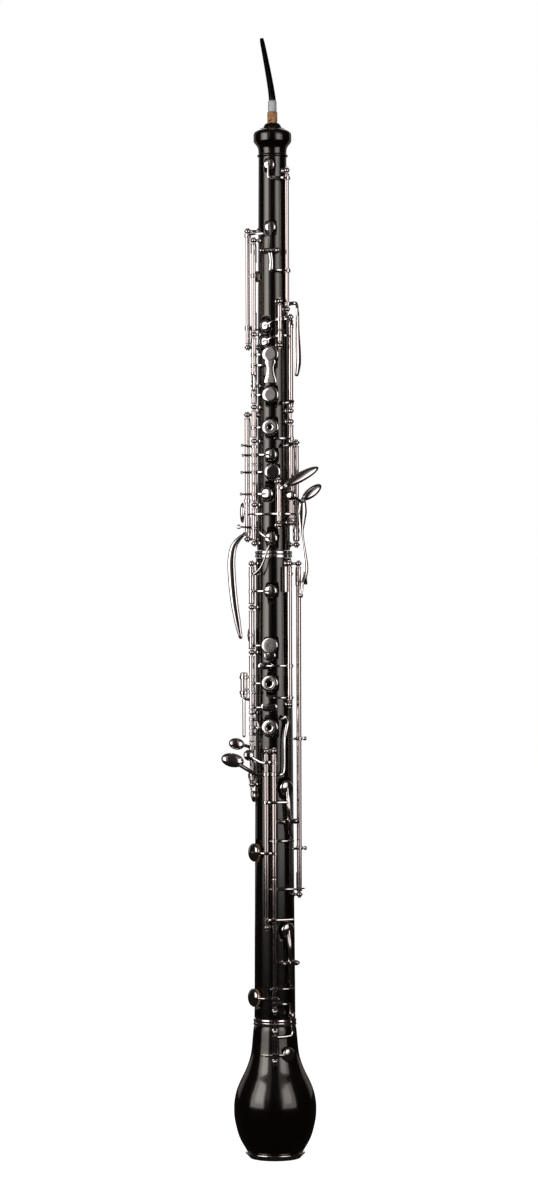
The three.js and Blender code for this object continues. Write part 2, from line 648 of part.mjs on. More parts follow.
const halfHole = key(stackLine, up.stackOne, up.stackTop, [
  armedCup(stackLine, up.halfPlate, plateAngle, up.halfPlate, plateRadius),
  reach(stackLine, up.halfArm, plateAngle, halfOver + armRadius / 2),
  frontOval(up.halfArm, plateRadius * 1.3, tubeRadius * 1.6, halfOver, plateAngle),
  frontOval(up.halfTail, plateRadius * 0.7, plateRadius * 0.75, halfOver, plateAngle),
]);
const openAngle = 6;
const closingAngle = 5;
addKey(upperGroup, "half_hole_key", stackLine, up.stackOne, halfHole, -openAngle);
const secondPlate = key(stackLine, up.stackTwo, up.stackOne, [
  armedCup(stackLine, up.secondPlate, plateAngle, up.secondPlate, plateRadius),
]);
addKey(upperGroup, "left_second_key", stackLine, up.stackTwo, secondPlate, -openAngle);

function platedHole(line, shape, angle, height) {
  const inside = polar(line.piece.outside(height) - seatDepth, angle, height);
  const outside = polar(line.radius + outerStandoff, angle, height);
  return cut(shape, bar(inside, outside, plateHoleRadius, plateHoleRadius, tubeSides));
}

function endedCup(line, armHeight, angle, height, radius) {
  const over = cupTop(line.piece, height) - armRadius;
  const near = angle > line.angle ? angle - radius * 3 : angle + radius * 3;
  return [reach(line, armHeight, near, over, height), cup(line.piece, angle, height, radius)];
}

const thirdPlate = key(stackLine, up.stackThree, up.stackTwo, [
  endedCup(stackLine, up.thirdPlate, plateAngle, up.thirdPlate, plateRadius),
]);
const thirdRing = platedHole(stackLine, thirdPlate, plateAngle, up.thirdPlate);
addKey(upperGroup, "left_third_key", stackLine, up.stackThree, thirdRing, -openAngle);
const flatVent = key(stackLine, up.stackFour, up.stackThree, [
  armedCup(stackLine, up.flatCup, -5, up.flatCup, cupRadius * 0.93),
], meetPlay);
addKey(upperGroup, "b_flat_vent_key", stackLine, up.stackFour, flatVent, -openAngle);
const gKey = key(stackLine, up.stackFive, up.stackFour, [
  armedCup(stackLine, up.gPlate, 0, up.gPlate, plateRadius * 0.96),
], meetPlay, meetPlay);
addKey(upperGroup, "g_key", stackLine, up.stackFive, gKey, -openAngle);
const sharpKey = key(stackLine, up.stackSix, up.stackFive, [
  armedCup(stackLine, up.sharpCup, -23, up.sharpCup, cupRadius),
], postPlay, meetPlay);
addKey(upperGroup, "g_sharp_key", stackLine, up.stackSix, sharpKey);

const lowOver = cupTop(upperPiece, up.lowCup) + armRadius / 2;
const bridgeTip = lowerFoot + low.bridgeArm - upperFoot;
const bridgeReach = lowStackLine.radius + gap;
const bridgeVent = key(stackLine, up.stackFoot, up.stackSix, [
  reach(stackLine, up.curvedArm, -5, lowOver, up.lowCup),
  cup(upperPiece, -5, up.lowCup, cupRadius),
  arm([
    polar(lowOver, -5, up.lowCup - postBallRadius), polar(bridgeReach, -24, -tubeRadius),
    polar(bridgeReach + tailLift, -44, bridgeTip),
  ]),
]);
addKey(upperGroup, "bridge_vent_key", stackLine, up.stackFoot, bridgeVent, -openAngle);

function between(from, to, share) {
  return from.clone().lerp(to, share);
}

// A leaf-shaped touch from its root to its tip.
function leaf(root, tip, facing, width) {
  const along = tip.clone().sub(root);
  const length = along.length();
  along.normalize();
  const outward = facing.clone().addScaledVector(along, -facing.dot(along)).normalize();
  const middle = between(root, tip, 0.5).addScaledVector(outward, -touchThickness / 2);
  return oval(middle, outward, along, length / 2, width / 2);
}

const leafFacing = new THREE.Vector3(0.3, -1, 0.15);
const flatLeafRoot = polar(flatLine.radius + overTube, 22, up.flatLeafFoot);
const flatLeafTip = polar(leafReach, 71, up.flatLeafTip);
const flatLever = key(flatLine, up.flatLeverFoot, up.flatLeverTop, [
  arm([onLine(flatLine, up.flatLeafFoot), flatLeafRoot, between(flatLeafRoot, flatLeafTip, 0.25)]),
  leaf(flatLeafRoot, flatLeafTip, leafFacing, leafWidth),
  reach(flatLine, up.crossBar, stackAngle, flatLine.radius + middleStandoff),
  reach(flatLine, up.crossBar, 60, flatLine.radius + middleStandoff - armRadius),
]);
addKey(upperGroup, "left_little_finger_lever", flatLine, up.flatLeverFoot, flatLever);

const leverReach = leverLine.radius + overTube * 1.6;
const leverRoot = polar(leverReach, 72, up.leverLeafFoot);
const leverTip = polar(leafReach + armRadius, 86, up.leverLeafTip);
const leverBase = polar(leverReach, 74, up.leverBase);
const teardrop = polar(flatLine.radius + middleStandoff, 40, up.teardrop);
const leverEnd = lowerFoot + low.longLug - upperFoot;
const lugReach = longLine.radius + overTube;
const lowLever = key(leverLine, up.leverFoot, up.leverTop, [
  arm([onLine(leverLine, up.leverBase), leverBase, leverRoot, between(leverRoot, leverTip, 0.3)]),
  leaf(leverRoot, leverTip, leafFacing, leafWidth),
  arm([leverBase, teardrop]),
  oval(teardrop, polar(1, 40, 0), vertical, leafWidth / 2, leafWidth * 0.6),
  arm([
    leverBase, polar(leverReach, 74, up.leverBend), polar(leverReach + armRadius, 74, -postFootRadius * 4),
    polar(lugReach + tailLift, 72, leverEnd),
  ], armRadius * 1.3),
]);
addKey(upperGroup, "low_b_lever", leverLine, up.leverFoot, lowLever);

// The long curved lever for the right hand's first finger, cut from sheet
const bladeThickness = 1.6;
const bladeWidth = 15;
const bladeLength = 84;
const bladeShares = [[0, 1], [-0.6, 0.93], [-0.97, 0.84], [-1, 0.7], [-0.85, 0.4], [-0.45, 0.06]];
const bladeInnerShares = [[-0.25, 0], [-0.12, 0.05], [-0.42, 0.4], [-0.58, 0.7], [-0.52, 0.84], [0, 0.95]];
function blade() {
  const outline = [...bladeShares, ...bladeInnerShares];
  const corners = outline.map(([x, z]) => new THREE.Vector2(x * bladeWidth, z * bladeLength));
  const shape = new THREE.Shape(corners);
  const sheet = new THREE.ExtrudeGeometry(shape, { depth: bladeThickness, bevelEnabled: false });
  const root = polar(sideLine.radius + armRadius, sideLine.angle, up.sideLever - bladeLength);
  return solid(sheet.rotateX(Math.PI / 2).translate(root.x, root.y - tubeRadius, root.z));
}
const sideKey = key(sideLine, up.sideFoot, up.sideTop, [
  arm([onLine(sideLine, up.sideLever), polar(sideLine.radius + overTube, sideLine.angle + 8, up.sideLever)]),
  blade(),
]);
addKey(upperGroup, "right_side_key", sideLine, up.sideFoot, sideKey);

// Keys of the lower joint
const bridgeKey = key(lowStackLine, low.stackOne, low.top, [
  armedCup(lowStackLine, low.bridgeCup, -6, low.bridgeCup, cupRadius),
  reach(lowStackLine, low.bridgeArm, -36, bridgeReach - tailLift),
]);
addKey(lowerGroup, "bridge_key", lowStackLine, low.stackOne, bridgeKey, -openAngle);
const moonDrop = plateRadius * 1.37;
const moonOver = cupTop(lowerPiece, low.firstPlate) - touchThickness;
const firstPlate = key(lowStackLine, low.stackTwo, low.stackOne, [
  armedCup(lowStackLine, low.firstPlate, lowerPlateAngle, low.firstPlate, plateRadius),
  frontOval(low.firstPlate - moonDrop, plateRadius * 0.42, plateRadius * 0.7, moonOver, lowerPlateAngle),
]);
addKey(lowerGroup, "right_first_key", lowStackLine, low.stackTwo, firstPlate, -openAngle);
const secondRing = key(lowStackLine, low.stackThree, low.stackTwo, [
  endedCup(lowStackLine, low.secondPlate, lowerPlateAngle, low.secondPlate, plateRadius),
  reach(lowStackLine, low.edgePlate, lowerPlateAngle, lowStackLine.radius - armRadius),
  frontOval(low.edgePlate, tubeRadius * 1.5, plateRadius, lowStackLine.radius - armRadius, lowerPlateAngle),
]);
const secondHole = platedHole(lowStackLine, secondRing, lowerPlateAngle, low.secondPlate);
addKey(lowerGroup, "right_second_key", lowStackLine, low.stackThree, secondHole, -openAngle);
const thirdKey = key(lowStackLine, low.stackFour, low.stackThree, [
  endedCup(lowStackLine, low.thirdPlate, lowerPlateAngle, low.thirdPlate, plateRadius),
], meetPlay);
const thirdHole = platedHole(lowStackLine, thirdKey, lowerPlateAngle, low.thirdPlate);
addKey(lowerGroup, "right_third_key", lowStackLine, low.stackFour, thirdHole, -openAngle);

const eggFacing = new THREE.Vector3(-0.25, -1, 0.3);
const eggHalf = 6.2;
const flatEgg = polar(lowStackLine.radius + overTube * 3.4, -72, low.flatTouch);
const flatOver = cupTop(lowerPiece, low.flatCup) + armRadius / 2;
const flatKey = key(lowStackLine, low.stackFoot, low.stackFour, [
  arm([onLine(lowStackLine, low.flatTouchArm), flatEgg]),
  oval(flatEgg, eggFacing, new THREE.Vector3(-1, 0, 0.2), eggHalf, eggHalf * 0.75),
  arm([
    onLine(lowStackLine, low.flatArm), polar(lowStackLine.radius + gap, -88, low.flatArm),
    polar(flatOver, -80, low.flatCup),
  ]),
  cup(lowerPiece, -80, low.flatCup, smallCupRadius),
], postPlay, meetPlay);
addKey(lowerGroup, "right_little_finger_key", lowStackLine, low.stackFoot, flatKey, closingAngle);

const spoonOver = ventLine.radius - tailLift;
const ventKey = key(ventLine, low.ventFoot, low.top, [
  reach(ventLine, low.ventArm, -24, spoonOver),
  frontOval(low.ventArm, tubeRadius * 1.25, plateRadius * 0.85, spoonOver, -24),
  reach(ventLine, low.linkArm, 0, ventLine.radius),
]);
addKey(lowerGroup, "right_vent_key", ventLine, low.ventFoot, ventKey);

function crossArm(height, angle) {
  const outerEnd = polar(lugReach + armRadius, 72, height);
  return arm([outerEnd, onLine(longLine, height), polar(longLine.radius, angle, height)]);
}
const longKey = key(longLine, low.longFoot, low.top, [
  arm([onLine(longLine, low.longLug), polar(lugReach, 72, low.longLug)]),
  crossArm(low.longLowLug, 50),
  crossArm(low.longArm, 44),
]);
addKey(lowerGroup, "long_lever", longLine, low.longFoot, longKey);

const overC = cLine.radius + overTube + gap;
// An arm of the front rod that passes over the tube beside it.
function bridgeArm(height, radius, angle) {
  const crossing = [polar(overC, -7, height), polar(overC, 7, height)];
  return arm([onLine(cLine, height), ...crossing, polar(radius, angle, height)]);
}
const cEgg = polar(lowStackLine.radius + overTube * 4.6, -68, low.cTouch);
const cKey = key(cLine, low.cFoot, low.lowTop, [
  arm([onLine(cLine, low.cTouchArm), polar(overC, -38, low.cTouchArm), cEgg]),
  oval(cEgg, eggFacing, new THREE.Vector3(-1, 0, 0.2), eggHalf * 1.45, eggHalf * 0.9),
  bridgeArm(low.cArm, overC - gap, 26),
  bridgeArm(low.cLowArm, overC, 38),
]);
addKey(lowerGroup, "low_c_key", cLine, low.cFoot, cKey);

const sharpOver = cupTop(lowerPiece, low.sharpCup) + armRadius / 2;
const tailOver = sharpCross.radius + tailLift + gap;
const sharpButton = polar(lowStackLine.radius + overTube * 1.6, -52, low.sharpTouch);
// An arm of the middle rod that passes over the front rod's tube to its end point.
function armOverFront(height, nearAngle, farAngle, end) {
  const crossing = [polar(overC, nearAngle, height), polar(overC, farAngle, height)];
  return arm([onLine(lowLine, height), ...crossing, end]);
}
const crescentFoot = polar(lowLine.radius, 36, low.cTouchArm);
const sharpC = key(lowLine, low.lowSplit, low.lowTop, [
  armOverFront(low.sharpTouchArm, -12, -27, sharpButton),
  oval(sharpButton, eggFacing, vertical, eggHalf * 0.7, eggHalf * 0.7),
  arm([onLine(lowLine, low.cTouchArm), crescentFoot, polar(lowLine.radius, 37, low.crescent)]),
  frontOval(low.crescent, plateRadius, tubeRadius, lowLine.radius, 37),
  reach(lowLine, low.sharpRocker, 46, tailOver),
  armOverFront(low.sharpCup, -10, -28, polar(sharpOver, -62, low.sharpCup)),
  cup(lowerPiece, -62, low.sharpCup, openCupRadius),
], meetPlay);
addKey(lowerGroup, "c_sharp_key", lowLine, low.lowSplit, sharpC, closingAngle);

const lowCupOver = cupTop(lowerPiece, low.lowCup) + armRadius / 2;
const lowTailOver = lowCross.radius + tailLift + gap;
const linkReach = lowLine.radius + armRadius;
const linkFoot = polar(linkReach, 37, low.bellLink);
const lowKey = key(lowLine, low.lowFoot, low.lowSplit, [
  reach(lowLine, low.lowLink, 64, lugReach + tailLift),
  reach(lowLine, low.lowRocker, 44, lowTailOver),
  reach(lowLine, low.lowCup, -62, lowCupOver),
  cup(lowerPiece, -62, low.lowCup, openCupRadius),
  arm([onLine(lowLine, low.bellLink), linkFoot, polar(linkReach, 37, low.bellLinkTip)]),
], postPlay, meetPlay);
addKey(lowerGroup, "low_b_key", lowLine, low.lowFoot, lowKey, closingAngle);

// The key on the bell, with the bridge that reaches up to the lower joint
const bridgeOver = linkReach + tailLift;
const bellKey = key(bellLine, bel.foot, bel.top, [
  armedCup(bellLine, bel.cup, 33, bel.cup, cupRadius),
  arm([onLine(bellLine, bel.arm), polar(bridgeOver, 37, bel.arm), polar(bridgeOver, 37, bel.linkTop)]),
]);
addKey(bellGroup, "bell_key", bellLine, bel.foot, bellKey);

// Thumb rest: a curved plate on the back, a hook for the thumb and a ring for the strap
function block(centre, width, depth, height) {
  const geometry = new THREE.BoxGeometry(width, depth, height);
  return solid(geometry.translate(centre.x, centre.y, centre.z));
}
const halfPlate = thumbPlateLength / 2;
const plateBase = lowerPiece.outside(low.thumbRest - halfPlate) + gap;
const plateCurve = ring(
  plateBase, plateBase + thumbPlateThickness, low.thumbRest - halfPlate, low.thumbRest + halfPlate, woodSides,
);
const plateCentre = new THREE.Vector3(0, plateBase + thumbPlateThickness / 2, low.thumbRest);
const bentPlate = plateCurve.intersect(block(plateCentre, thumbPlateWidth, plateBase, thumbPlateLength));
const hookCentre = new THREE.Vector3(0, plateBase + gap + thumbHookReach / 2, low.thumbRest);
const hook = block(hookCentre, thumbHookWidth, thumbHookReach, thumbPlateThickness * 1.5);
const ringCentre = new THREE.Vector3(
  0, plateBase + thumbPlateThickness + strapRingRadius, low.thumbRest + halfPlate - strapRingRadius,
);
const strapRing = new THREE.TorusGeometry(strapRingRadius, strapRingWire, smallSides, cupSides);
strapRing.rotateY(Math.PI / 2).translate(ringCentre.x, ringCentre.y, ringCentre.z);
add(lowerGroup, "thumb_rest", join(bentPlate, hook, solid(strapRing)), silver);

// Bocal, measured from the top of the upper joint
const sleeveRadius = bocalFootRadius * 0.79;
const bendFoot = bocalCorkShow + ferruleHeight + gap;
const bocalCurve = new THREE.QuadraticBezierCurve3(
  new THREE.Vector3(0, 0, bendFoot),
  new THREE.Vector3(0, 0, bendFoot + bocalRise * 0.1),
  new THREE.Vector3(-bocalLeanLeft, bocalLeanBack, bocalRise),
);
const bocalSteps = 10;
function tubeAlong(curve, radius, endRadius) {
  const circle = new THREE.Shape().absarc(0, 0, radius, 0, Math.PI * 2);
  const curveSegments = tubeSides / 2;
  const settings = { steps: bocalSteps, bevelEnabled: false, extrudePath: curve, curveSegments };
  const geometry = new THREE.ExtrudeGeometry(circle, settings);
  const centres = curve.getSpacedPoints(bocalSteps);
  const place = geometry.attributes.position;
  const point = new THREE.Vector3();
  for (let i = 0; i < place.count; i += 1) {
    point.fromBufferAttribute(place, i);
    const spans = centres.map((centre) => centre.distanceTo(point));
    const nearest = spans.indexOf(Math.min(...spans));
    const size = 1 + (endRadius / radius - 1) * (nearest / bocalSteps);
    point.sub(centres[nearest]).multiplyScalar(size).add(centres[nearest]);
    place.setXYZ(i, point.x, point.y, point.z);
  }
  return solid(geometry);
}
const socketFloor = -bocalSocketDepth + gap;
function stem(bottom, top, radius) {
  const ends = [bottom, top].map((height) => new THREE.Vector3(0, 0, height));
  return bar(...ends, radius, radius, tubeSides);
}
const stemBore = stem(socketFloor - overrun, bendFoot + overrun / 2, bocalBoreRadius);
const bocalSleeve = stem(socketFloor, bendFoot + gap, sleeveRadius);
const bocal = join(tubeAlong(bocalCurve, bocalFootRadius, bocalTipRadius), bocalSleeve);
const bocalHollow = tubeAlong(bocalCurve, bocalBoreRadius, bocalBoreRadius);
add(bocalGroup, "bocal_tube", cut(bocal, stemBore, bocalHollow), blackMetal);
const sleeveBore = sleeveRadius + gap * 1.5;
const ferrule = ring(sleeveBore, ferruleRadius, bocalCorkShow + gap, bocalCorkShow + ferruleHeight, cupSides);
add(bocalGroup, "bocal_ferrule", ferrule, silver);
const bocalCork = ring(sleeveBore, bocalCorkRadius, socketFloor + gap, bocalCorkShow, woodSides);
add(bocalGroup, "bocal_cork", bocalCork, corkFinish);

export default horn;
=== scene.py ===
import math
from types import SimpleNamespace

import bmesh
import bpy
from mathutils import Matrix, Vector


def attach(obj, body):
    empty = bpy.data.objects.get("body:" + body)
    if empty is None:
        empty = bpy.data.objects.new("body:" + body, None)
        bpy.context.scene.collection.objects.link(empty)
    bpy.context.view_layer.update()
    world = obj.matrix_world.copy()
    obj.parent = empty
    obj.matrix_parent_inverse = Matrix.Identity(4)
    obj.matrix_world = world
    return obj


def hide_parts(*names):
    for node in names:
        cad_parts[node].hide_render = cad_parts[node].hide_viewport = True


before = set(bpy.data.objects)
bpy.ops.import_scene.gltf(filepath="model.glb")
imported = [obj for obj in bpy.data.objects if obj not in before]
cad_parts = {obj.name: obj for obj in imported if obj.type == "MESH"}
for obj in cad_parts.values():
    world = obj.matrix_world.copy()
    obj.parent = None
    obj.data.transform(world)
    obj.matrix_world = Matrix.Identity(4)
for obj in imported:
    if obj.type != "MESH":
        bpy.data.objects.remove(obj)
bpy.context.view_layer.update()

# English horn. Lengths are millimetres until a mesh is made. Angles are degrees round the bore:
# 0 is the front (-Y) and 90 is the +X side, and heights start at the bell's rim.
MM = 0.001
UP = Vector((0, 0, 1))

# Wooden body
GAP = 0.3
BELL_HEIGHT = 103.5
BELL_NECK = 16.2
BELL_RADIUS = 32.1
BELL_HOLLOW = 27.0
MOUTH_RADIUS = 16.4
LOWER_LENGTH = 358.0
UPPER_LENGTH = 333.0
FINIAL_HEIGHT = 26.9
RING_HEIGHT = 5.5
TENON_LENGTH = 21.0
CORK_LENGTH = 13.0
LOWER_FOOT = BELL_HEIGHT + GAP + RING_HEIGHT + GAP
UPPER_FOOT = LOWER_FOOT + LOWER_LENGTH + GAP + RING_HEIGHT + GAP
TOP = UPPER_FOOT + UPPER_LENGTH

# Keywork
ROD = 1.0
TUBE = 1.95
TUBE_BORE = 1.35
THIN_TUBE = 1.6
THICK_TUBE = 2.2
BALL = 2.2
ARM = 1.05
FULL_CUP = 2.9
SEAT_DEPTH = 0.9
PLATE = 6.7
CUP = 5.4
SMALL_CUP = 4.6
ROCKER_CUP = 6.0
OPEN_CUP = 7.2
THICK_PAD = 1.1
INNER, MIDDLE, OUTER = 3.7, 5.1, 7.8
TAIL_LIFT = 2.3
OVER_TUBE = 3.6
POST_PLAY = BALL + 0.4
MEET_PLAY = 0.2
LEAF_REACH = 37.0
LEVER_LIFT = OVER_TUBE * 1.6
SPATULA_LIFT = OVER_TUBE + 1
SCREW_DEPTH = 1.6
ALMOND_ANGLE = 40
OPEN_ANGLE = -6.0
CLOSING_ANGLE = 5.0
ROCKER_OPEN = 4.0


# Places

def polar(radius, degrees, height):
    turn = math.radians(degrees)
    return Vector((radius * math.sin(turn), -radius * math.cos(turn), height))


def outward(degrees):
    return polar(1, degrees, 0)


class Wood:
    """A wooden piece: where it starts, how long it is and how its outside tapers."""

    def __init__(self, foot, length, bottom_radius, top_radius, taper_length):
        self.foot = foot
        self.length = length
        self.bottom_radius = bottom_radius
        self.slope = (top_radius - bottom_radius) / taper_length

    def outside(self, height):
        return self.bottom_radius + self.slope * (height - self.foot)

    def at(self, share):
        return self.foot + share * self.length


BELL_SWELL = [
    (0, 1), (0.04, 0.97), (0.1, 0.87), (0.15, 0.8), (0.24, 0.74), (0.42, 0.665), (0.66, 0.59),
    (0.87, 0.51), (0.98, 0.43), (1, 0.36), (0.95, 0.28), (0.74, 0.16), (0.4, 0.065),
]


class Bell(Wood):
    """The bell's outside follows its pear-shaped swelling."""

    def outside(self, height):
        share = height / BELL_HEIGHT
        for (high_swell, high), (low_swell, low) in zip(BELL_SWELL, BELL_SWELL[1:]):
            if low <= share <= high:
                swell = low_swell + (high_swell - low_swell) * (share - low) / (high - low)
                return BELL_NECK + (BELL_RADIUS - BELL_NECK) * swell
        return BELL_NECK


upper = Wood(UPPER_FOOT, UPPER_LENGTH, 12.9, 10.9, UPPER_LENGTH - FINIAL_HEIGHT)
lower = Wood(LOWER_FOOT, LOWER_LENGTH, 16.0, 13.9, LOWER_LENGTH)
bell = Bell(0.0, BELL_HEIGHT, BELL_NECK, BELL_NECK, BELL_HEIGHT)


def levels(wood, **shares):
    return SimpleNamespace(**{name: wood.at(share) for name, share in shares.items()})


up = levels(
    upper, octave_top=0.886, octave_cup=0.9, octave_arm=0.868, octave_foot=0.562, rocker_cup=0.754,
    rocker_pin=0.698, rocker_tail=0.652, side_touch=0.574, side_touch_end=0.41, thumb_top=0.747,
    thumb_arm=0.737, thumb_touch=0.52, thumb_foot=0.475, vent_top=0.724, vent_cup=0.641,
    trill_top=0.58, trill_arm=0.538, trill_cup=0.524, trill_split=0.512, low_trill_arm=0.5,
    low_trill_cup=0.487, trill_foot=0.477, right_top=0.544, right_arm=0.524, right_touch=0.344,
    right_split=0.325, stack_top=0.504, half_plate=0.456, half_arm=0.431,
    stack_one=0.384, second_plate=0.362, stack_two=0.334, third_plate=0.286, stack_three=0.255,
    flat_cup=0.222, stack_four=0.2, g_plate=0.182, stack_five=0.155, sharp_cup=0.131,
    stack_six=0.106, curved_arm=0.053, low_cup=0.027, stack_foot=0.016, low_right_top=0.3,
    low_right_arm=0.26, low_right_touch=0.245, low_right_foot=0.064, flat_lever_top=0.16,
    flat_leaf_tip=0.193, flat_leaf_foot=0.147, cross_bar=0.084, flat_lever_foot=0.058,
    lever_top=0.252, lever_leaf_tip=0.153, lever_leaf_foot=0.118, teardrop=0.127, lever_base=0.111,
    lever_bend=0.02, lever_foot=0.013, side_top=0.317, side_foot=0.026, side_lever=0.038,
)
low = levels(
    lower, top=0.988, bridge_arm=0.965, bridge_cup=0.928, stack_one=0.893, first_plate=0.81,
    stack_two=0.795, second_plate=0.728, stack_three=0.664, third_plate=0.632, stack_four=0.6,
    flat_touch=0.597, flat_cup=0.482, flat_arm=0.53, flat_touch_arm=0.588, stack_foot=0.508,
    vent_arm=0.766, vent_foot=0.682, link_arm=0.697, long_lug=0.945, long_low_lug=0.608,
    long_arm=0.37, long_foot=0.269, low_top=0.582, c_touch=0.562, c_touch_arm=0.532, c_arm=0.471,
    c_low_arm=0.217, c_foot=0.2, sharp_touch=0.573, sharp_touch_arm=0.558, crescent=0.64,
    edge_plate=0.676, sharp_rocker=0.387, sharp_cup=0.361, low_split=0.307, low_link=0.283,
    low_rocker=0.067, low_cup=0.046, bell_link=0.034, bell_link_tip=0.008, low_foot=0.018,
    rocker_cup=0.501, rocker_pin=0.429, rocker_tail=0.392, low_rocker_cup=0.193,
    low_rocker_pin=0.122, low_rocker_tail=0.073, thumb_rest=0.71,
)
bel = levels(bell, top=0.975, arm=0.933, cup=0.8, foot=0.753, link_top=1.1)


def hinge_line(wood, angle, foot, standoff):
    return SimpleNamespace(wood=wood, angle=angle, radius=wood.outside(foot) + standoff)


STACK_ANGLE = -64
PLATE_ANGLE = -7
LOW_STACK_ANGLE = -67
LOW_PLATE_ANGLE = -9
octave_line = hinge_line(upper, 46, up.octave_foot, INNER)
thumb_line = hinge_line(upper, -85, up.thumb_foot, OUTER)
trill_line = hinge_line(upper, 20, up.trill_foot, INNER)
stack_line = hinge_line(upper, STACK_ANGLE, up.stack_foot, INNER)
right_line = hinge_line(upper, 56, up.low_right_foot, INNER)
lever_line = hinge_line(upper, 85, up.lever_foot, MIDDLE)
flat_line = hinge_line(upper, 15, up.flat_lever_foot, INNER)
side_line = hinge_line(upper, -80, up.side_foot, OUTER)
low_stack_line = hinge_line(lower, LOW_STACK_ANGLE, low.stack_foot, INNER)
vent_line = hinge_line(lower, 42, low.vent_foot, INNER)
long_line = hinge_line(lower, 70, low.long_foot, MIDDLE)
c_line = hinge_line(lower, -19, low.c_foot, INNER)
low_line = hinge_line(lower, 0, low.low_foot, INNER)
bell_line = hinge_line(bell, 0, bel.foot, INNER)


def on_line(line, height):
    return polar(line.radius, line.angle, height)


def seat_radius(wood, height):
    return wood.outside(height) - SEAT_DEPTH


def cup_top(wood, height):
    return seat_radius(wood, height) + GAP + FULL_CUP


# Shapes: (points, faces) in millimetres

def gather(shapes):
    points, faces = [], []
    for shape in shapes:
        if isinstance(shape, list):
            shape = gather(shape)
        start = len(points)
        points += shape[0]
        faces += [tuple(start + i for i in face) for face in shape[1]]
    return points, faces


def loft(rings, closed=False, ends=False):
    """A skin over rings of points; a ring of one point is a tip. Closed joins the last ring to the
    first, ends puts a flat face over each of them."""
    points, rows, faces = [], [], []
    for ring in rings:
        rows.append(list(range(len(points), len(points) + len(ring))))
        points += ring
    pairs = list(zip(rows, rows[1:] + rows[:1]))
    for one, two in pairs if closed else pairs[:-1]:
        count = max(len(one), len(two))
        for i in range(count):
            j = (i + 1) % count
            corners = [one[i % len(one)], one[j % len(one)], two[j % len(two)], two[i % len(two)]]
            faces.append(tuple(dict.fromkeys(corners)))
    if ends:
        faces += [tuple(rows[0]), tuple(reversed(rows[-1]))]
    return points, [face for face in faces if len(face) > 2]


def turns_of(sides, start=0.0):
    """The turns, in radians, of the corners of a ring."""
    return [2 * math.pi * (i + start) / sides for i in range(sides)]


def for_each(points, value):
    """A value for each point, from a list of them or from one that serves all."""
    return value if isinstance(value, list) else [value] * len(points)


def basis(axis, along):
    y = axis.normalized()
    if abs(y.dot(along)) > 0.95:
        along = Vector((1, 0, 0))
    x = y.cross(along).normalized()
    return x, y, x.cross(y)


def spin(profile, sides, origin, axis, wide=1.0, tall=1.0, along=UP):
    """A turned shape from (radius, height) pairs along an axis. Wide and tall make it oval."""
    x, y, z = basis(axis, along)
    closed = profile[0] == profile[-1]
    rings = []
    for radius, height in profile[:-1] if closed else profile:
        middle = origin + y * height
        rings.append([
            middle + (x * (math.cos(turn) * radius * wide) + z * (math.sin(turn) * radius * tall))
            for turn in (turns_of(sides) if radius else (0,))
        ])
    return loft(rings, closed)


def curve(values, steps=5):
    """A smooth run through a list of numbers or points."""
    run = []
    last = len(values) - 1
    for i in range(last):
        a, b = values[max(i - 1, 0)], values[i]
        c, d = values[i + 1], values[min(i + 2, last)]
        for k in range(steps):
            t = k / steps
            run.append(
                (b * 2 + (c - a) * t + (a * 2 - b * 5 + c * 4 - d) * t ** 2
                 + (b * 3 - a - c * 3 + d) * t ** 3) * 0.5
            )
    return run + [values[-1]]


def even(values, steps=5):
    """A straight-lined run through a list of numbers, as long as the smooth one."""
    run = []
    for one, two in zip(values, values[1:]):
        run += [one + (two - one) * k / steps for k in range(steps)]
    return run + [values[-1]]


CAP_TURNS = (75, 50, 25)


def sweep(path, widths, depths, facing=None, sides=10, square=0.8, back=1.0):
    """A bar along a path with rounded ends. Its width lies across `facing`, its depth along it.
    `back` flattens the far side to that share of the depth."""
    last = len(path) - 1

    def ring(centre, tangent, width, depth):
        out = facing if facing else Vector((centre.x, centre.y, 0))
        out = (out - tangent * out.dot(tangent)).normalized()
        side = tangent.cross(out)
        row = []
        for turn in turns_of(sides, 0.5):
            c, s = (math.copysign(abs(v) ** square, v) for v in (math.cos(turn), math.sin(turn)))
            row.append(centre + side * (width * c) + out * (depth * s * (back if s < 0 else 1)))
        return row

    def cap(way, centre, tangent, width, depth):
        stretch = way * min(width, depth)
        rows = [[centre + tangent * stretch]]
        for turn in CAP_TURNS:
            lift, shrink = math.sin(math.radians(turn)), math.cos(math.radians(turn))
            middle = centre + tangent * (stretch * lift)
            rows.append(ring(middle, tangent, width * shrink, depth * shrink))
        return rows

    tangents = [
        (path[min(i + 1, last)] - path[max(i - 1, 0)]).normalized() for i in range(last + 1)
    ]
    stations = list(zip(path, tangents, for_each(path, widths), for_each(path, depths)))
    rings = [ring(*station) for station in stations]
    return loft(cap(-1, *stations[0]) + rings + cap(1, *stations[last])[::-1])


def bent(points, width=ARM, depth=None, facing=None, steps=5, sides=10, square=0.8, back=1.0):
    """A bar smoothly bent through points. One width or depth serves all points; a depth that is
    left out is the first width."""
    widths = for_each(points, width)
    depths = for_each(points, widths[0] if depth is None else depth)
    runs = curve(points, steps), even(widths, steps), even(depths, steps)
    return sweep(*runs, facing, sides, square, back)


def turned_about(shape, origin, axis, degrees):
    turn = Matrix.Rotation(math.radians(degrees), 3, axis)
    return [origin + turn @ (point - origin) for point in shape[0]], shape[1]


# Finishes

def linear(hex_colour):
    """An sRGB hex colour as linear RGBA."""
    values = [int(hex_colour[i:i + 2], 16) / 255 for i in (1, 3, 5)]
    return [v / 12.92 if v <= 0.04045 else ((v + 0.055) / 1.055) ** 2.4 for v in values] + [1.0]


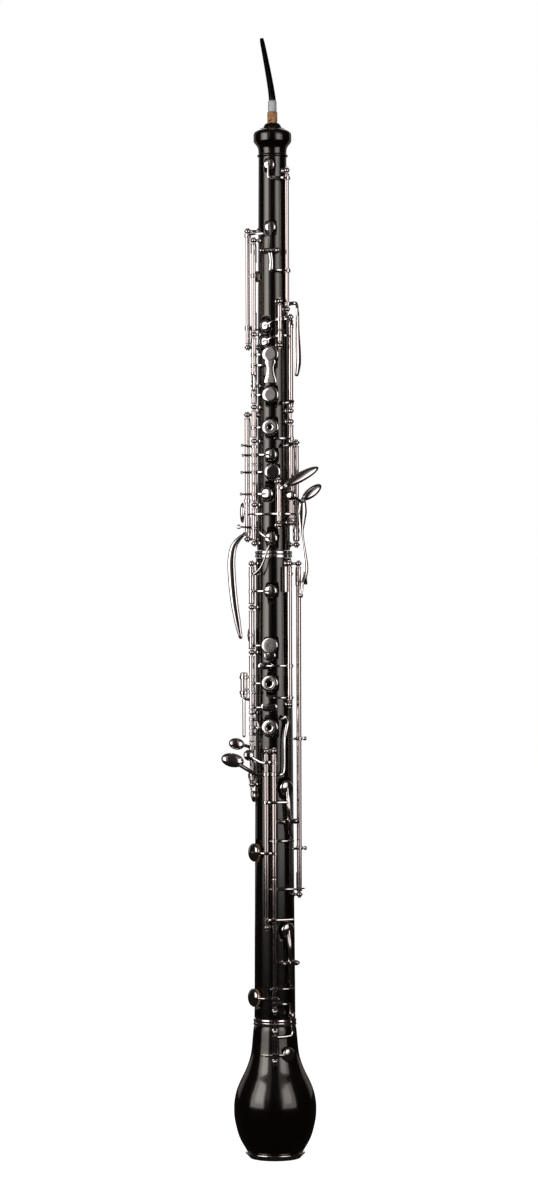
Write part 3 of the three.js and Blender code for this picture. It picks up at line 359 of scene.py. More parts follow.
def add(tree, kind, links=(), **settings):
    """Adds a node. Settings are its values or, by name, its inputs; links are (input, output)."""
    node = tree.nodes.new(kind)
    for name, value in settings.items():
        if hasattr(node, name):
            setattr(node, name, value)
        else:
            node.inputs[name.replace("_", " ")].default_value = value
    for target, source in links:
        tree.links.new(source, node.inputs[target])
    return node


def finish_named(name):
    material = bpy.data.materials.new(name)
    material.use_nodes = True
    material.node_tree.nodes.clear()
    return material, material.node_tree


def colours(ramp, stops):
    """Sets a colour ramp from (place, hex colour) pairs."""
    while len(ramp.color_ramp.elements) < len(stops):
        ramp.color_ramp.elements.new(0.5)
    for element, (place, hex_colour) in zip(ramp.color_ramp.elements, stops):
        element.position = place
        element.color = linear(hex_colour)
    return ramp.outputs["Color"]


def surfaced(name, stretch, tone, stops, relief, depth_mm, gloss=None, **constants):
    """A finish with patterns of real sizes, each (cell in millimetres, detail) and drawn out along
    the bore by `stretch`: `tone` colours it by the stops, `relief` is `depth_mm` deep, and `gloss`
    is (pattern, lowest roughness, highest roughness)."""
    material, tree = finish_named(name)
    coordinates = add(tree, "ShaderNodeTexCoord")
    places = add(
        tree, "ShaderNodeMapping", [("Vector", coordinates.outputs["Object"])],
        Scale=(1.0, 1.0, 1 / stretch),
    )
    patterns = {tone: None, relief: None, (gloss or [relief])[0]: None}
    for cell_mm, detail in patterns:
        noise = add(
            tree, "ShaderNodeTexNoise", [("Vector", places.outputs["Vector"])],
            Scale=1 / (cell_mm * MM), Detail=detail,
        )
        patterns[cell_mm, detail] = noise.outputs["Fac"]
    ramp = add(tree, "ShaderNodeValToRGB", [("Fac", patterns[tone])])
    bump = add(tree, "ShaderNodeBump", [("Height", patterns[relief])], Distance=depth_mm * MM)
    links = [("Base Color", colours(ramp, stops)), ("Normal", bump.outputs["Normal"])]
    if gloss:
        pattern, low_rough, high_rough = gloss
        level = add(
            tree, "ShaderNodeMapRange", [("Value", patterns[pattern])],
            To_Min=low_rough, To_Max=high_rough,
        )
        links.append(("Roughness", level.outputs["Result"]))
    shader = add(tree, "ShaderNodeBsdfPrincipled", links, **constants)
    add(tree, "ShaderNodeOutputMaterial", [("Surface", shader.outputs["BSDF"])])
    return material


def metal(name, dark, light, low_rough, high_rough, mark_mm, stretch, depth_mm):
    """A polished or ground metal: its colour and gloss drift a little and it has fine marks."""
    marks = (mark_mm, 4.0)
    return surfaced(
        name, stretch, (9.0, 3.0), [(0.3, dark), (0.7, light)], marks, depth_mm,
        (marks, low_rough, high_rough), Metallic=1.0,
    )


# The metals: darker and lighter colour, lowest and highest roughness, then the size of the marks in
# millimetres, how far they are drawn out along the bore, and their depth. Real marks are far finer
# than a pixel of the render, so they are drawn this coarse to break up the gloss at all.

# Silver plate buffed to a mirror: the lamps show as white crescents, the dark studio as grey.
silver_plate = metal("polished_silver_plate", "#ddd2cf", "#ece4e1", 0.08, 0.14, 0.8, 1.0, 0.0002)
# Drawn and ground hinge tubes: fine marks along the tube spread the lamps into rosy streaks.
drawn_tube = metal("ground_nickel_silver_tube", "#d3c3bf", "#e6d8d4", 0.08, 0.12, 0.2, 30.0, 0.0001)
# Turned posts and screws, a little duller than the keys from handling.
turned_posts = metal("turned_silver_plate", "#cdc0bd", "#e2d8d5", 0.12, 0.2, 0.6, 1.0, 0.0003)
# Needle springs: steel heated until it turns blue.
blued_steel = metal("blued_spring_steel", "#2b3140", "#4a5266", 0.25, 0.35, 0.3, 4.0, 0.0004)
# The bocal: plated black, smooth, with a soft grey streak where a lamp is mirrored.
black_plate = metal("black_nickel_plate", "#2b3030", "#3d4345", 0.24, 0.32, 0.3, 3.0, 0.0002)
# The ferrule: bead-blasted silver, so it looks nearly white and even.
matt_silver = metal("bead_blasted_silver", "#f0f0ef", "#fbfbfa", 0.85, 0.9, 0.2, 1.0, 0.001)

# Turned and oiled blackwood: nearly black, faint brown streaks and pores along the bore, and an oil
# gloss that draws each lamp as a soft upright band. Its pores are a tenth of a millimetre wide and
# are drawn three times as coarse, so that a close view shows them.
blackwood = surfaced(
    "oiled_blackwood", 14.0, (1.1, 5.0), [(0.35, "#040302"), (0.6, "#090605"), (0.8, "#1a0f0b")],
    (0.35, 2.0), 0.004, ((16.0, 2.0), 0.13, 0.2),
    IOR=1.58, Coat_Weight=1.0, Coat_Roughness=0.12, Coat_Tint=linear("#fff0e2"),
)
# Sanded natural cork: warm tan, with dark flecks one to two millimetres across.
cork = surfaced(
    "sanded_natural_cork", 1.0, (1.9, 3.0),
    [(0.32, "#3d2113"), (0.4, "#a56f48"), (0.55, "#c48e63"), (0.75, "#d29c72")],
    (1.9, 3.0), 0.1, Roughness=0.85, IOR=1.45,
)
# Pads: felt discs in a tan fish-skin and leather cover with a fine pore pattern, drawn coarser than
# the real one so that the narrow rim that shows isn't one flat colour.
pad_skin = surfaced(
    "tan_pad_leather", 1.0, (0.6, 3.0), [(0.35, "#9c7350"), (0.6, "#c29a70")], (0.6, 3.0), 0.02,
    Roughness=0.6, IOR=1.45,
)


SAME_POINT = 1e-7
SHARP_EDGE = math.radians(38)


def mesh_of(name, shape):
    points, faces = shape
    mesh = bpy.data.meshes.new(name)
    mesh.from_pydata([point * MM for point in points], [], faces)
    work = bmesh.new()
    work.from_mesh(mesh)
    bmesh.ops.remove_doubles(work, verts=work.verts, dist=SAME_POINT)
    bmesh.ops.recalc_face_normals(work, faces=work.faces)
    for face in work.faces:
        face.smooth = True
    work.to_mesh(mesh)
    work.free()
    mesh.set_sharp_from_angle(angle=SHARP_EDGE)
    return mesh


def placed(name, data):
    """A new object in the scene."""
    made = bpy.data.objects.new(name, data)
    bpy.context.scene.collection.objects.link(made)
    return made


def dress(name, shapes, finish, body, stands_for=(), turn=None):
    """Makes a piece from shapes, turns it to its place at rest and hands it to its body."""
    shape = gather(shapes)
    if turn:
        shape = turned_about(shape, *turn)
    piece = placed(name, mesh_of(name, shape))
    piece.data.materials.append(finish)
    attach(piece, body)
    if stands_for:
        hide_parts(*stands_for)
    return piece


# Wooden body, rings and corks

WOOD_SIDES = 96


def upright(profile, sides=WOOD_SIDES, foot=0.0):
    return spin(profile, sides, Vector((0, 0, foot)), UP, along=Vector((1, 0, 0)))


def ring_of(inner, outer_run):
    """A ring round the bore: its outside runs from its bottom to its top."""
    foot = (inner, outer_run[0][1])
    return upright([foot, *outer_run, (inner, outer_run[-1][1]), foot])


FINIAL_RUN = [
    (10.9, 0), (11.35, 0.25), (11.95, 0.9), (12.05, 1.35), (11.95, 1.8), (11.35, 2.45),
    (10.95, 2.75), (10.95, 4.5), (11.1, 6.2), (11.5, 7.8), (12.4, 9.3), (13.6, 10.8), (14.5, 12.0),
    (14.8, 12.9), (14.8, 17.9), (14.55, 18.9), (13.9, 19.8), (12.9, 20.6), (11.4, 21.5),
    (10.2, 22.0), (9.6, 22.35), (9.45, 22.75), (7.6, 22.9), (7.15, 23.2), (6.9, 24.2), (6.4, 25.4),
    (5.6, 26.4), (4.9, 26.9),
]
BELL_HOLLOW_SHARES = [
    (0.296, 0.87), (0.3, 0.8), (0.34, 0.77), (0.44, 0.7), (0.67, 0.6), (0.89, 0.5), (1, 0.36),
    (0.86, 0.16),
]

# Where each seat lies round the bore
seat = SimpleNamespace(
    octave=-13, rocker=-9, vent=-88, trill=-29, low_trill=-33, flat=-5, g=0, sharp=-23, low=-5,
    bridge=-6, little=-80, sharp_rocker=32, low_rocker=34, open=-62, bell=33,
)
VENT_HOLE, TONE_HOLE = 1.2, 2.6


def seats_with(hole, *cuts):
    """Seats with one size of hole, from the (angle, height, radius) of each cut."""
    return [(*cut, hole) for cut in cuts]


UPPER_SEATS = seats_with(
    VENT_HOLE, (seat.octave, up.octave_cup, SMALL_CUP), (seat.rocker, up.rocker_cup, SMALL_CUP),
    (seat.vent, up.vent_cup, SMALL_CUP), (seat.trill, up.trill_cup, SMALL_CUP),
    (seat.low_trill, up.low_trill_cup, SMALL_CUP), (PLATE_ANGLE, up.half_plate, PLATE),
) + seats_with(
    TONE_HOLE, (PLATE_ANGLE, up.second_plate, PLATE), (PLATE_ANGLE, up.third_plate, PLATE),
    (seat.flat, up.flat_cup, CUP), (seat.g, up.g_plate, PLATE), (seat.sharp, up.sharp_cup, CUP),
    (seat.low, up.low_cup, CUP),
)
LOWER_SEATS = seats_with(
    TONE_HOLE, (seat.bridge, low.bridge_cup, CUP), (LOW_PLATE_ANGLE, low.first_plate, PLATE),
    (LOW_PLATE_ANGLE, low.second_plate, PLATE), (LOW_PLATE_ANGLE, low.third_plate, PLATE),
    (seat.little, low.flat_cup, SMALL_CUP), (seat.sharp_rocker, low.rocker_cup, ROCKER_CUP),
    (seat.low_rocker, low.low_rocker_cup, ROCKER_CUP), (seat.open, low.sharp_cup, OPEN_CUP),
    (seat.open, low.low_cup, OPEN_CUP),
)
BELL_SEATS = seats_with(TONE_HOLE, (seat.bell, bel.cup, CUP))
SEAT_ROOM = 0.35


def seat_cutter(wood, angle, height, radius, hole):
    """The hollow of one flat seat and its tone hole, with a raised lip left round the hole."""
    base = seat_radius(wood, height)
    room = radius + SEAT_ROOM
    groove = base - 0.35
    profile = [
        (0, 2.0), (hole, 2.0), (hole, base), (hole + 0.9, base), (hole + 1.1, groove),
        (room - 0.4, groove), (room, groove + 0.4), (room, base + 5.0), (0, base + 5.0),
    ]
    return spin(profile, 40, Vector((0, 0, height)), outward(angle))


def dress_wood(name, node, profile, wood, seats):
    """Turns a wooden piece and cuts its seats, every second one at a time: neighbours overlap."""
    piece = dress(name, [upright(profile)], blackwood, "horn_body", [node])
    for start in (0, 1):
        shapes = [seat_cutter(wood, *cut) for cut in seats[start::2]]
        if not shapes:
            continue
        cutter = placed("drill", mesh_of("drill", gather(shapes)))
        cutting = piece.modifiers.new("holes", "BOOLEAN")
        cutting.operation = "DIFFERENCE"
        cutting.solver = "EXACT"
        cutting.object = cutter
        bpy.context.view_layer.update()
        drilled = piece.evaluated_get(bpy.context.evaluated_depsgraph_get())
        mesh = bpy.data.meshes.new_from_object(drilled)
        piece.modifiers.clear()
        piece.data = mesh
        bpy.data.objects.remove(cutter)


def tapered_run(wood, bottom, top, step=6.0):
    """The outside of a tapering joint, with a ring of points every few millimetres."""
    count = max(int((top - bottom) / step), 1)
    heights = [bottom + (top - bottom) * i / count for i in range(count + 1)]
    return [(wood.outside(height), height) for height in heights]


EDGE = 0.3
SOCKET_DEPTH = 15.2
UPPER_TENON, LOWER_TENON = 8.4, 11.0
UPPER_BORE, LOWER_BORE, BOCAL_SOCKET = 5.2, 8.0, 4.2
LOWER_SOCKET, BELL_SOCKET = 10.4, 13.0


def tenon_run(wood, bore, tenon):
    """The foot of a joint, from its bore round the tenon to the shoulder."""
    foot = wood.foot
    end = foot - TENON_LENGTH
    shoulder = wood.bottom_radius - EDGE
    return [(bore, end), (tenon - 0.4, end), (tenon, end + 0.4), (tenon, foot), (shoulder, foot)]


upper_profile = (
    tenon_run(upper, UPPER_BORE, UPPER_TENON)
    + tapered_run(upper, UPPER_FOOT + EDGE, TOP - FINIAL_HEIGHT - 1.0)
    + [(radius, TOP - FINIAL_HEIGHT + rise) for radius, rise in FINIAL_RUN]
    + [(BOCAL_SOCKET, TOP), (BOCAL_SOCKET, TOP - 16.0), (3.3, TOP - 16.0)]
    + [(UPPER_BORE, UPPER_FOOT - TENON_LENGTH)]
)
dress_wood("upper_joint_wood", "upper_joint", upper_profile, upper, UPPER_SEATS)

lower_top = LOWER_FOOT + LOWER_LENGTH
lower_profile = (
    tenon_run(lower, LOWER_BORE, LOWER_TENON)
    + tapered_run(lower, LOWER_FOOT + EDGE, lower_top - EDGE)
    + [(lower.outside(lower_top) - EDGE, lower_top), (LOWER_SOCKET, lower_top)]
    + [(radius, lower_top - SOCKET_DEPTH) for radius in (LOWER_SOCKET, UPPER_BORE)]
    + [(LOWER_BORE, LOWER_FOOT - TENON_LENGTH)]
)
dress_wood("lower_joint_wood", "lower_joint", lower_profile, lower, LOWER_SEATS)

BELL_FOOT = 5.5
rising = BELL_SWELL[::-1]
radii = curve([BELL_NECK + (BELL_RADIUS - BELL_NECK) * swell for swell, _ in rising], 6)
heights = curve([height * BELL_HEIGHT for _, height in rising], 6)
bell_outside = [(min(radius, BELL_RADIUS), height) for radius, height in zip(radii, heights)]
radii = curve([radius * BELL_HOLLOW for radius, _ in BELL_HOLLOW_SHARES])
heights = curve([height * BELL_HEIGHT for _, height in BELL_HOLLOW_SHARES])
bell_profile = (
    [(MOUTH_RADIUS, BELL_FOOT), (21.9, BELL_FOOT)] + bell_outside
    + [(BELL_SOCKET, BELL_HEIGHT), (BELL_SOCKET, BELL_HEIGHT - SOCKET_DEPTH)]
    + list(zip(radii, heights)) + [(MOUTH_RADIUS, BELL_FOOT)]
)
dress_wood("bell_wood", "bell", bell_profile, bell, BELL_SEATS)

rim_run = [
    (16.8, 0), (19.0, 0), (19.6, 0.25), (20.2, 1.0), (21.2, 2.2), (22.3, 3.2), (23.1, 3.9),
    (23.2, 4.3), (23.1, 4.75), (22.7, 5.1), (22.2, 5.2),
]
rim = upright([(MOUTH_RADIUS, 0.3), *rim_run, (MOUTH_RADIUS, 5.2), (MOUTH_RADIUS, 0.3)])
dress("bell_rim_metal", [rim], silver_plate, "horn_body", ["bell_rim_ring"])


BANDS = [
    (0.5, 0), (0, 0.3), (0, 1.9), (0.25, 2.2), (0.45, 2.5), (0.45, 2.8), (0.2, 3.0), (0.05, 3.5),
    (0.05, 4.5), (0.25, 5.2), (0.7, 5.5),
]


def banded_ring(name, node, inner, outer, foot):
    """A joint ring turned with a flange and a bead, which mirror as two bright bands."""
    run = [(outer - inset, foot + rise) for inset, rise in BANDS]
    dress(name, [ring_of(inner, run)], silver_plate, "horn_body", [node])


banded_ring("bell_socket_metal", "bell_socket_ring", BELL_SOCKET, 16.8, BELL_HEIGHT + GAP)
banded_ring("lower_socket_metal", "lower_socket_ring", LOWER_SOCKET, 14.6, lower_top + GAP)


def tenon_cork(name, node, tenon_radius, foot):
    """Cork sleeve glued in the tenon, its ends rounded by the knife."""
    inner = tenon_radius + 0.1
    outer = tenon_radius + GAP + 1.4
    bottom = foot - TENON_LENGTH + 0.9
    top = bottom + CORK_LENGTH
    run = [(outer - 0.4, bottom), (outer, bottom + 0.5), (outer, top - 0.5), (outer - 0.4, top)]
    dress(name, [ring_of(inner, run)], cork, "horn_body", [node])


tenon_cork("upper_tenon_cork_sleeve", "upper_tenon_cork", UPPER_TENON, UPPER_FOOT)
tenon_cork("lower_tenon_cork_sleeve", "lower_tenon_cork", LOWER_TENON, LOWER_FOOT)


# Hinge rods and posts

def post(wood, radius, angle, height):
    """A turned post screwed into the wood: flange, waist and ball with a small finial."""
    foot = min(wood.outside(height - 2.4), wood.outside(height + 2.4)) - 0.35
    rise = radius - foot
    profile = [
        (0, 0), (2.4, 0), (2.45, 0.75), (2.2, 1.05), (1.5, 1.3), (1.15, 1.9), (1.05, rise * 0.55),
        (1.25, rise - 2.1), (1.75, rise - 1.45), (2.1, rise - 0.7), (2.2, rise), (2.1, rise + 0.7),
        (1.75, rise + 1.4), (1.2, rise + 1.85), (0.65, rise + 2.05), (0.6, rise + 2.25),
        (0.7, rise + 2.45), (0.5, rise + 2.7), (0, rise + 2.8),
    ]
    return spin(profile, 18, polar(foot, angle, height), outward(angle))


def slotted_head(place, axis, radius=1.25):
    """The end of a pivot screw: two half discs with the driver's slot between them."""
    x, y, z = basis(axis, UP)
    shapes = [spin([(0, -0.9), (radius, -0.9), (radius, 0.05), (0, 0.05)], 16, place, axis)]
    turns = [math.radians(degrees) for degrees in range(-80, 81, 20)]
    for way in (-1, 1):
        base = [
            place + (x * (way * math.cos(turn)) + z * math.sin(turn)) * radius for turn in turns
        ]
        shapes.append(loft([base, [point + y * 0.45 for point in base]], ends=True))
    return shapes


def round_bar(start, end, radius, sides=14, chamfer=0.2):
    length = (end - start).length
    profile = [
        (0, 0), (radius - chamfer, 0), (radius, chamfer), (radius, length - chamfer),
        (radius - chamfer, length), (0, length),
    ]
    return spin(profile, sides, start, end - start)


SPRING = 0.32
SPRING_ROOM = 22


def needle(line, height, way):
    """A needle spring: it leaves its post by the rod and bears on the tube from the wood's side."""
    away = math.copysign(1, line.angle)
    places = ((-1.2, 0, 0), (-TUBE - 0.6, 3, 5), (-TUBE - 0.75, 4, 17))
    points = [
        polar(line.radius + lift, line.angle + turn * away, height + way * rise)
        for lift, turn, rise in places
    ]
    return bent(points, SPRING, square=1.0)


def dress_rod(name, line, stops):
    """A steel rod on a hinge line with its posts and springs; the ends show the screws' slots."""
    springs = [needle(line, max(stops), -1)]
    springs += [needle(line, height, 1) for height in stops if height < max(stops) - SPRING_ROOM]
    dress(name + "_springs", springs, blued_steel, "horn_body")
    shapes = [round_bar(on_line(line, min(stops) - 1), on_line(line, max(stops) + 1), ROD)]
    shapes += [post(line.wood, line.radius, line.angle, height) for height in stops]
    shapes += slotted_head(on_line(line, min(stops) - BALL + 0.1), -UP)
    shapes += slotted_head(on_line(line, max(stops) + BALL - 0.1), UP)
    dress(name + "_turned", shapes, turned_posts, "horn_body", [name])


for rod, line, *stops in (
    ("octave_rod", octave_line, up.octave_foot, up.octave_top),
    ("thumb_lever_rod", thumb_line, up.thumb_foot, up.thumb_top),
    ("trill_rod", trill_line, up.trill_foot, up.trill_top),
    ("left_stack_rod", stack_line, up.stack_foot, up.stack_six, up.stack_three, up.stack_two,
     up.stack_one, up.stack_top, up.vent_top),
    ("right_trill_rod", right_line, up.low_right_foot, up.low_right_top, up.right_split,
     up.right_top),
    ("low_b_lever_rod", lever_line, up.lever_foot, up.lever_top),
    ("left_little_finger_rod", flat_line, up.flat_lever_foot, up.flat_lever_top),
    ("side_lever_rod", side_line, up.side_foot, up.side_top),
    ("right_stack_rod", low_stack_line, low.stack_foot, low.stack_three, low.stack_two,
     low.stack_one, low.top),
    ("right_vent_rod", vent_line, low.vent_foot, low.top),
    ("long_rod", long_line, low.long_foot, low.top),
    ("low_c_rod", c_line, low.c_foot, low.low_top),
    ("low_b_rod", low_line, low.low_foot, low.low_top),
    ("bell_key_rod", bell_line, bel.foot, bel.top),
):
    dress_rod(rod, line, stops)


def cross_line(wood, angle, height):
    radius = wood.outside(height) + INNER
    return SimpleNamespace(wood=wood, angle=angle, height=height, radius=radius)


def across(line, offset):
    turn = math.radians(line.angle)
    along = Vector((math.cos(turn), math.sin(turn), 0))
    return polar(line.radius, line.angle, line.height) + along * offset


ROCKER_SPAN = 6.0


def dress_cross_rod(name, line):
    """The short rod of a rocker, lying across the body between two posts."""
    ends = [across(line, -ROCKER_SPAN), across(line, ROCKER_SPAN)]
    shapes = [round_bar(ends[0], ends[1], ROD)]
    for end, way in zip(ends, (-1, 1)):
        angle = math.degrees(math.atan2(end.x, -end.y))
        shapes.append(post(line.wood, math.hypot(end.x, end.y), angle, end.z))
        along = across(line, way) - across(line, 0)
        shapes += slotted_head(across(line, way * (ROCKER_SPAN + BALL - 0.1)), along)
    dress(name + "_turned", shapes, turned_posts, "horn_body", [name])


octave_cross = cross_line(upper, -9, up.rocker_pin)
sharp_cross = cross_line(lower, 38, low.rocker_pin)
low_cross = cross_line(lower, 38, low.low_rocker_pin)
dress_cross_rod("octave_rocker_rod", octave_cross)
dress_cross_rod("c_sharp_rocker_rod", sharp_cross)
dress_cross_rod("low_rocker_rod", low_cross)


# Parts of a key

CUP_FOOT = 0.95
PLATE_SHOULDER = [
    (0.985, 2.02), (0.95, 2.26), (0.89, 2.48), (0.81, 2.66), (0.72, 2.8), (0.63, 2.88),
]


def plate_wall(inner, radius):
    return [(inner, CUP_FOOT), (radius - 0.35, CUP_FOOT), (radius, 1.2), (radius, 1.75)]


def plate_profile(radius, shoulder=1.0):
    """A finger plate: straight wall, a broad rounded shoulder and a very slightly dished face."""
    rounded = [(radius * (1 - (1 - share) * shoulder), height) for share, height in PLATE_SHOULDER]
    face = [(radius * (1 - 0.47 * shoulder), FULL_CUP), (radius * 0.3, 2.87), (0, 2.86)]
    return plate_wall(0, radius) + rounded + face


def ring_plate_profile(radius, hole):
    """An open-holed finger plate with a raised lip round the hole."""
    rounded = [(radius * share, height) for share, height in PLATE_SHOULDER[:4]]
    face = [
        (radius * 0.72, 2.78), (hole + 2.1, 2.72), (hole + 1.75, 2.74), (hole + 1.55, 3.1),
        (hole + 1.1, 3.45), (hole + 0.5, 3.42), (hole + 0.08, 3.1), (hole, 2.8), (hole, CUP_FOOT),
    ]
    return plate_wall(hole, radius) + rounded + face


def dome_profile(radius, lift=0.0):
    """A domed pad cup with a small point at its centre. Lift is what a thicker pad adds."""
    rise = radius * 0.24
    run = [
        (0, CUP_FOOT), (radius - 0.35, CUP_FOOT), (radius, 1.15), (radius, 1.5),
        (radius * 0.97, 1.8),
        (radius * 0.91, 1.95 + rise * 0.3), (radius * 0.8, 2.0 + rise * 0.58),
        (radius * 0.65, 2.0 + rise * 0.8), (radius * 0.45, 2.0 + rise * 0.97),
        (radius * 0.25, 2.0 + rise * 1.05), (0, 2.0 + rise * 1.08),
    ]
    return [(across_cup, height + lift) for across_cup, height in run]


def pad_profile(radius, hole=0.0, lift=0.0):
    inner = hole + 0.2 if hole else 0.0
    run = [
        (inner, 0.02), (radius - 1.1, 0.02), (radius - 0.7, 0.15), (radius - 0.45, 0.5),
        (radius - 0.35, 0.9 + lift), (radius - 0.45, 1.15 + lift), (inner, 1.15 + lift),
    ]
    return run + run[:1] if hole else run


def on_seat(profile, wood, angle, height):
    """A cup or pad turned from its profile, square on the seat that it closes."""
    return spin(profile, 36, polar(seat_radius(wood, height) + GAP, angle, height), outward(angle))


CUSHION = [
    (0, -0.55), (0.7, -0.5), (0.93, -0.3), (1.0, 0.0), (0.985, 0.22), (0.93, 0.48), (0.82, 0.7),
    (0.64, 0.87), (0.4, 0.97), (0, 1.0),
]
PLATE_EDGE = [
    (-1, 0), (-1, 0.45), (-0.9, 0.85), (-0.74, 1), (0.74, 1), (0.9, 0.85), (1, 0.45), (1, 0),
]


def cushion(centre, facing, along, half_length, half_width, thickness, sides=28):
    """A finger touch filed to a cushion shape: thin rim, full middle."""
    profile = [(radius, height * thickness) for radius, height in CUSHION]
    return spin(profile, sides, centre, facing, half_width, half_length, along)


def adjusting_screw(place, axis, radius):
    """A small slotted regulating screw."""
    shank = round_bar(place - axis * SCREW_DEPTH, place, radius)
    return [shank, *slotted_head(place, axis, radius)]


def wire_ring(centre, side, radius, thickness, facing, steps, sides):
    """A closed upright ring of wire that starts on the given side of its centre."""
    turns = [2 * math.pi * i / steps for i in range(steps + 1)]
    path = [centre + (side * math.cos(turn) + UP * math.sin(turn)) * radius for turn in turns]
    return sweep(path, thickness, thickness, facing, sides, square=1.0)


def dress_key(name, tube, silver, pads, screws, turn):
    """Hands a key's tube to its body, then its silver, pads and screws, turned as they rest."""
    dress(name + "_tube", tube, drawn_tube, name, [name], turn)
    for part, shapes, finish in (
        ("_metal", silver, silver_plate), ("_pads", pads, pad_skin),
        ("_screws", screws, turned_posts),
    ):
        if shapes:
            dress(name + part, shapes, finish, name, (), turn)


class Key:
    """A key on a hinge line: its tube, and what is soldered, glued or screwed to it. A place is a
    vector or (lift off the hinge line, angle, height)."""

    def __init__(
        self, name, line, bottom, top, foot_play=POST_PLAY, top_play=POST_PLAY, outer=TUBE,
    ):
        """The drawn tube has its bore open at both ends and a ring turned at each end."""
        self.name, self.line = name, line
        self.silver, self.pads, self.screws = [], [], []
        foot = bottom + foot_play
        length = top - top_play - foot
        ring = outer + 0.25
        profile = [
            (TUBE_BORE, 0), (outer + 0.1, 0), (ring, 0.2), (ring, 0.9), (outer, 1.15),
            (outer, length - 1.15), (ring, length - 0.9), (ring, length - 0.2),
            (outer + 0.1, length), (TUBE_BORE, length), (TUBE_BORE, 0),
        ]
        self.tube = spin(profile, 24, on_line(line, foot), UP)

    def place(self, place):
        if isinstance(place, Vector):
            return place
        lift, angle, height = place
        return polar(self.line.radius + lift, angle, height)

    def over(self, height):
        return cup_top(self.line.wood, height)

    def saddle(self, *heights, half=1.6):
        """Collars that are silver-soldered round the tube, mostly where an arm starts."""
        inner, outer = TUBE - 0.1, TUBE + 0.5
        profile = [
            (inner, -half), (outer - 0.25, -half), (outer, -half + 0.3), (outer, half - 0.3),
            (outer - 0.25, half), (inner, half), (inner, -half),
        ]
        self.silver += [spin(profile, 20, on_line(self.line, height), UP) for height in heights]

    def lug(self, height, way):
        """The rounded end that an arm leaves on the far side of its tube."""
        centre = on_line(self.line, height)
        away = outward(self.line.angle + way)
        path = [centre, centre + away * (TUBE + 0.2), centre + away * (TUBE + 1.0)]
        facing = outward(self.line.angle)
        widths, depths = [1.1, 0.8, 0.95], [0.9, 0.75, 0.85]
        self.silver.append(sweep(path, widths, depths, facing, sides=12, square=1.0))

    def bar(self, places, *form, **more):
        """A bar that is smoothly bent through places."""
        self.silver.append(bent([self.place(place) for place in places], *form, **more))

    def arm(self, height, places, *form, **more):
        """A bar that starts at its collar on the tube."""
        self.saddle(height)
        self.bar([(0, self.line.angle, height), *places], *form, **more)

    def reach(self, height, angle, radius, end_height=None, bulge=1.0, width=0.85):
        """The bent arm from the tube round the body to a point over its cup."""
        line = self.line
        climb = 0 if end_height is None else end_height - height
        path, widths = [], []
        for i in range(11):
            t = i / 10
            out = line.radius + (radius - line.radius) * t + bulge * math.sin(math.pi * t)
            turn = line.angle + (angle - line.angle) * t
            path.append(polar(out, turn, height + climb * t * t * (3 - 2 * t)))
            widths.append(width * (1.25 - 0.5 * t))
        self.saddle(height)
        self.lug(height, 90 if angle < line.angle else -90)
        self.silver.append(sweep(path, widths, [wide * 0.9 for wide in widths]))

    def tail(self, height, end, eye=0.0):
        """A thin arm to its ball or eye, which another key or a spring would meet."""
        start, end, out = on_line(self.line, height), self.place(end), outward(self.line.angle)
        self.saddle(height, half=1.2)
        self.bar([start, start.lerp(end, 0.5) + out * 0.5, end], [1.1, 0.75, 0.7], [0.9, 0.7, 0.65])
        if eye:
            away = (end - start).normalized()
            self.silver.append(wire_ring(end + away * eye, -away, eye, 0.5, out, 20, 8))
        else:
            self.touch(end - out * 0.2, out, UP, 1.25, 1.25, 1.1, 14)

    def touch(self, centre, *form):
        self.silver.append(cushion(self.place(centre), *form))

    def leaf(self, root, tip, facing):
        """A long oval touch from its stem to its tip: full along the middle, thin at the rim."""
        along = (tip - root).normalized()
        out = (facing - along * facing.dot(along)).normalized()
        self.touch(root.lerp(tip, 0.5), out, along, (tip - root).length / 2, 4.0, 2.5, 36)

    def plate(self, middle, rows, angle, top, thick=0.9, facing=None):
        """A flat plate that faces one way: rows of (rise, half width), with rounded edges."""
        facing = angle if facing is None else facing
        side, out = outward(facing + 90), outward(facing)
        rings = []
        for rise, half in rows:
            centre = polar(top - thick, angle, middle + rise)
            rings.append([
                centre + side * (half * share) + out * (thick * lift) for share, lift in PLATE_EDGE
            ])
        self.silver.append(loft(rings, ends=True))

    def cup(self, angle, height, radius, profile=None, hole=0.0, lift=0.0):
        """A cup, domed unless it has another profile, and the pad of this radius glued in it."""
        profile = profile or dome_profile(radius, lift)
        self.silver.append(on_seat(profile, self.line.wood, angle, height))
        self.pads.append(on_seat(pad_profile(radius, hole, lift), self.line.wood, angle, height))

    def domed(self, angle, height, radius, arm_height=None, rise=0.0, lift=0.0, **bend):
        """A domed cup on its arm, which ends `rise` above the cup's usual top."""
        start = height if arm_height is None else arm_height
        self.reach(start, angle, self.over(height) + rise, height, **bend)
        self.cup(angle, height, radius, lift=lift)

    def finger_plate(self, angle, height, profile, hole=0.0, pad=PLATE, short=22):
        """A finger plate; its arm ends in the plate's edge, some degrees short of its middle."""
        self.reach(height, angle - short, self.over(height) - 0.6)
        self.cup(angle, height, pad, profile, hole)

    def dress(self, rest=0.0):
        turn = (on_line(self.line, 0), UP, rest)
        dress_key(self.name, [self.tube], self.silver, self.pads, self.screws, turn)


# Keys of the upper joint

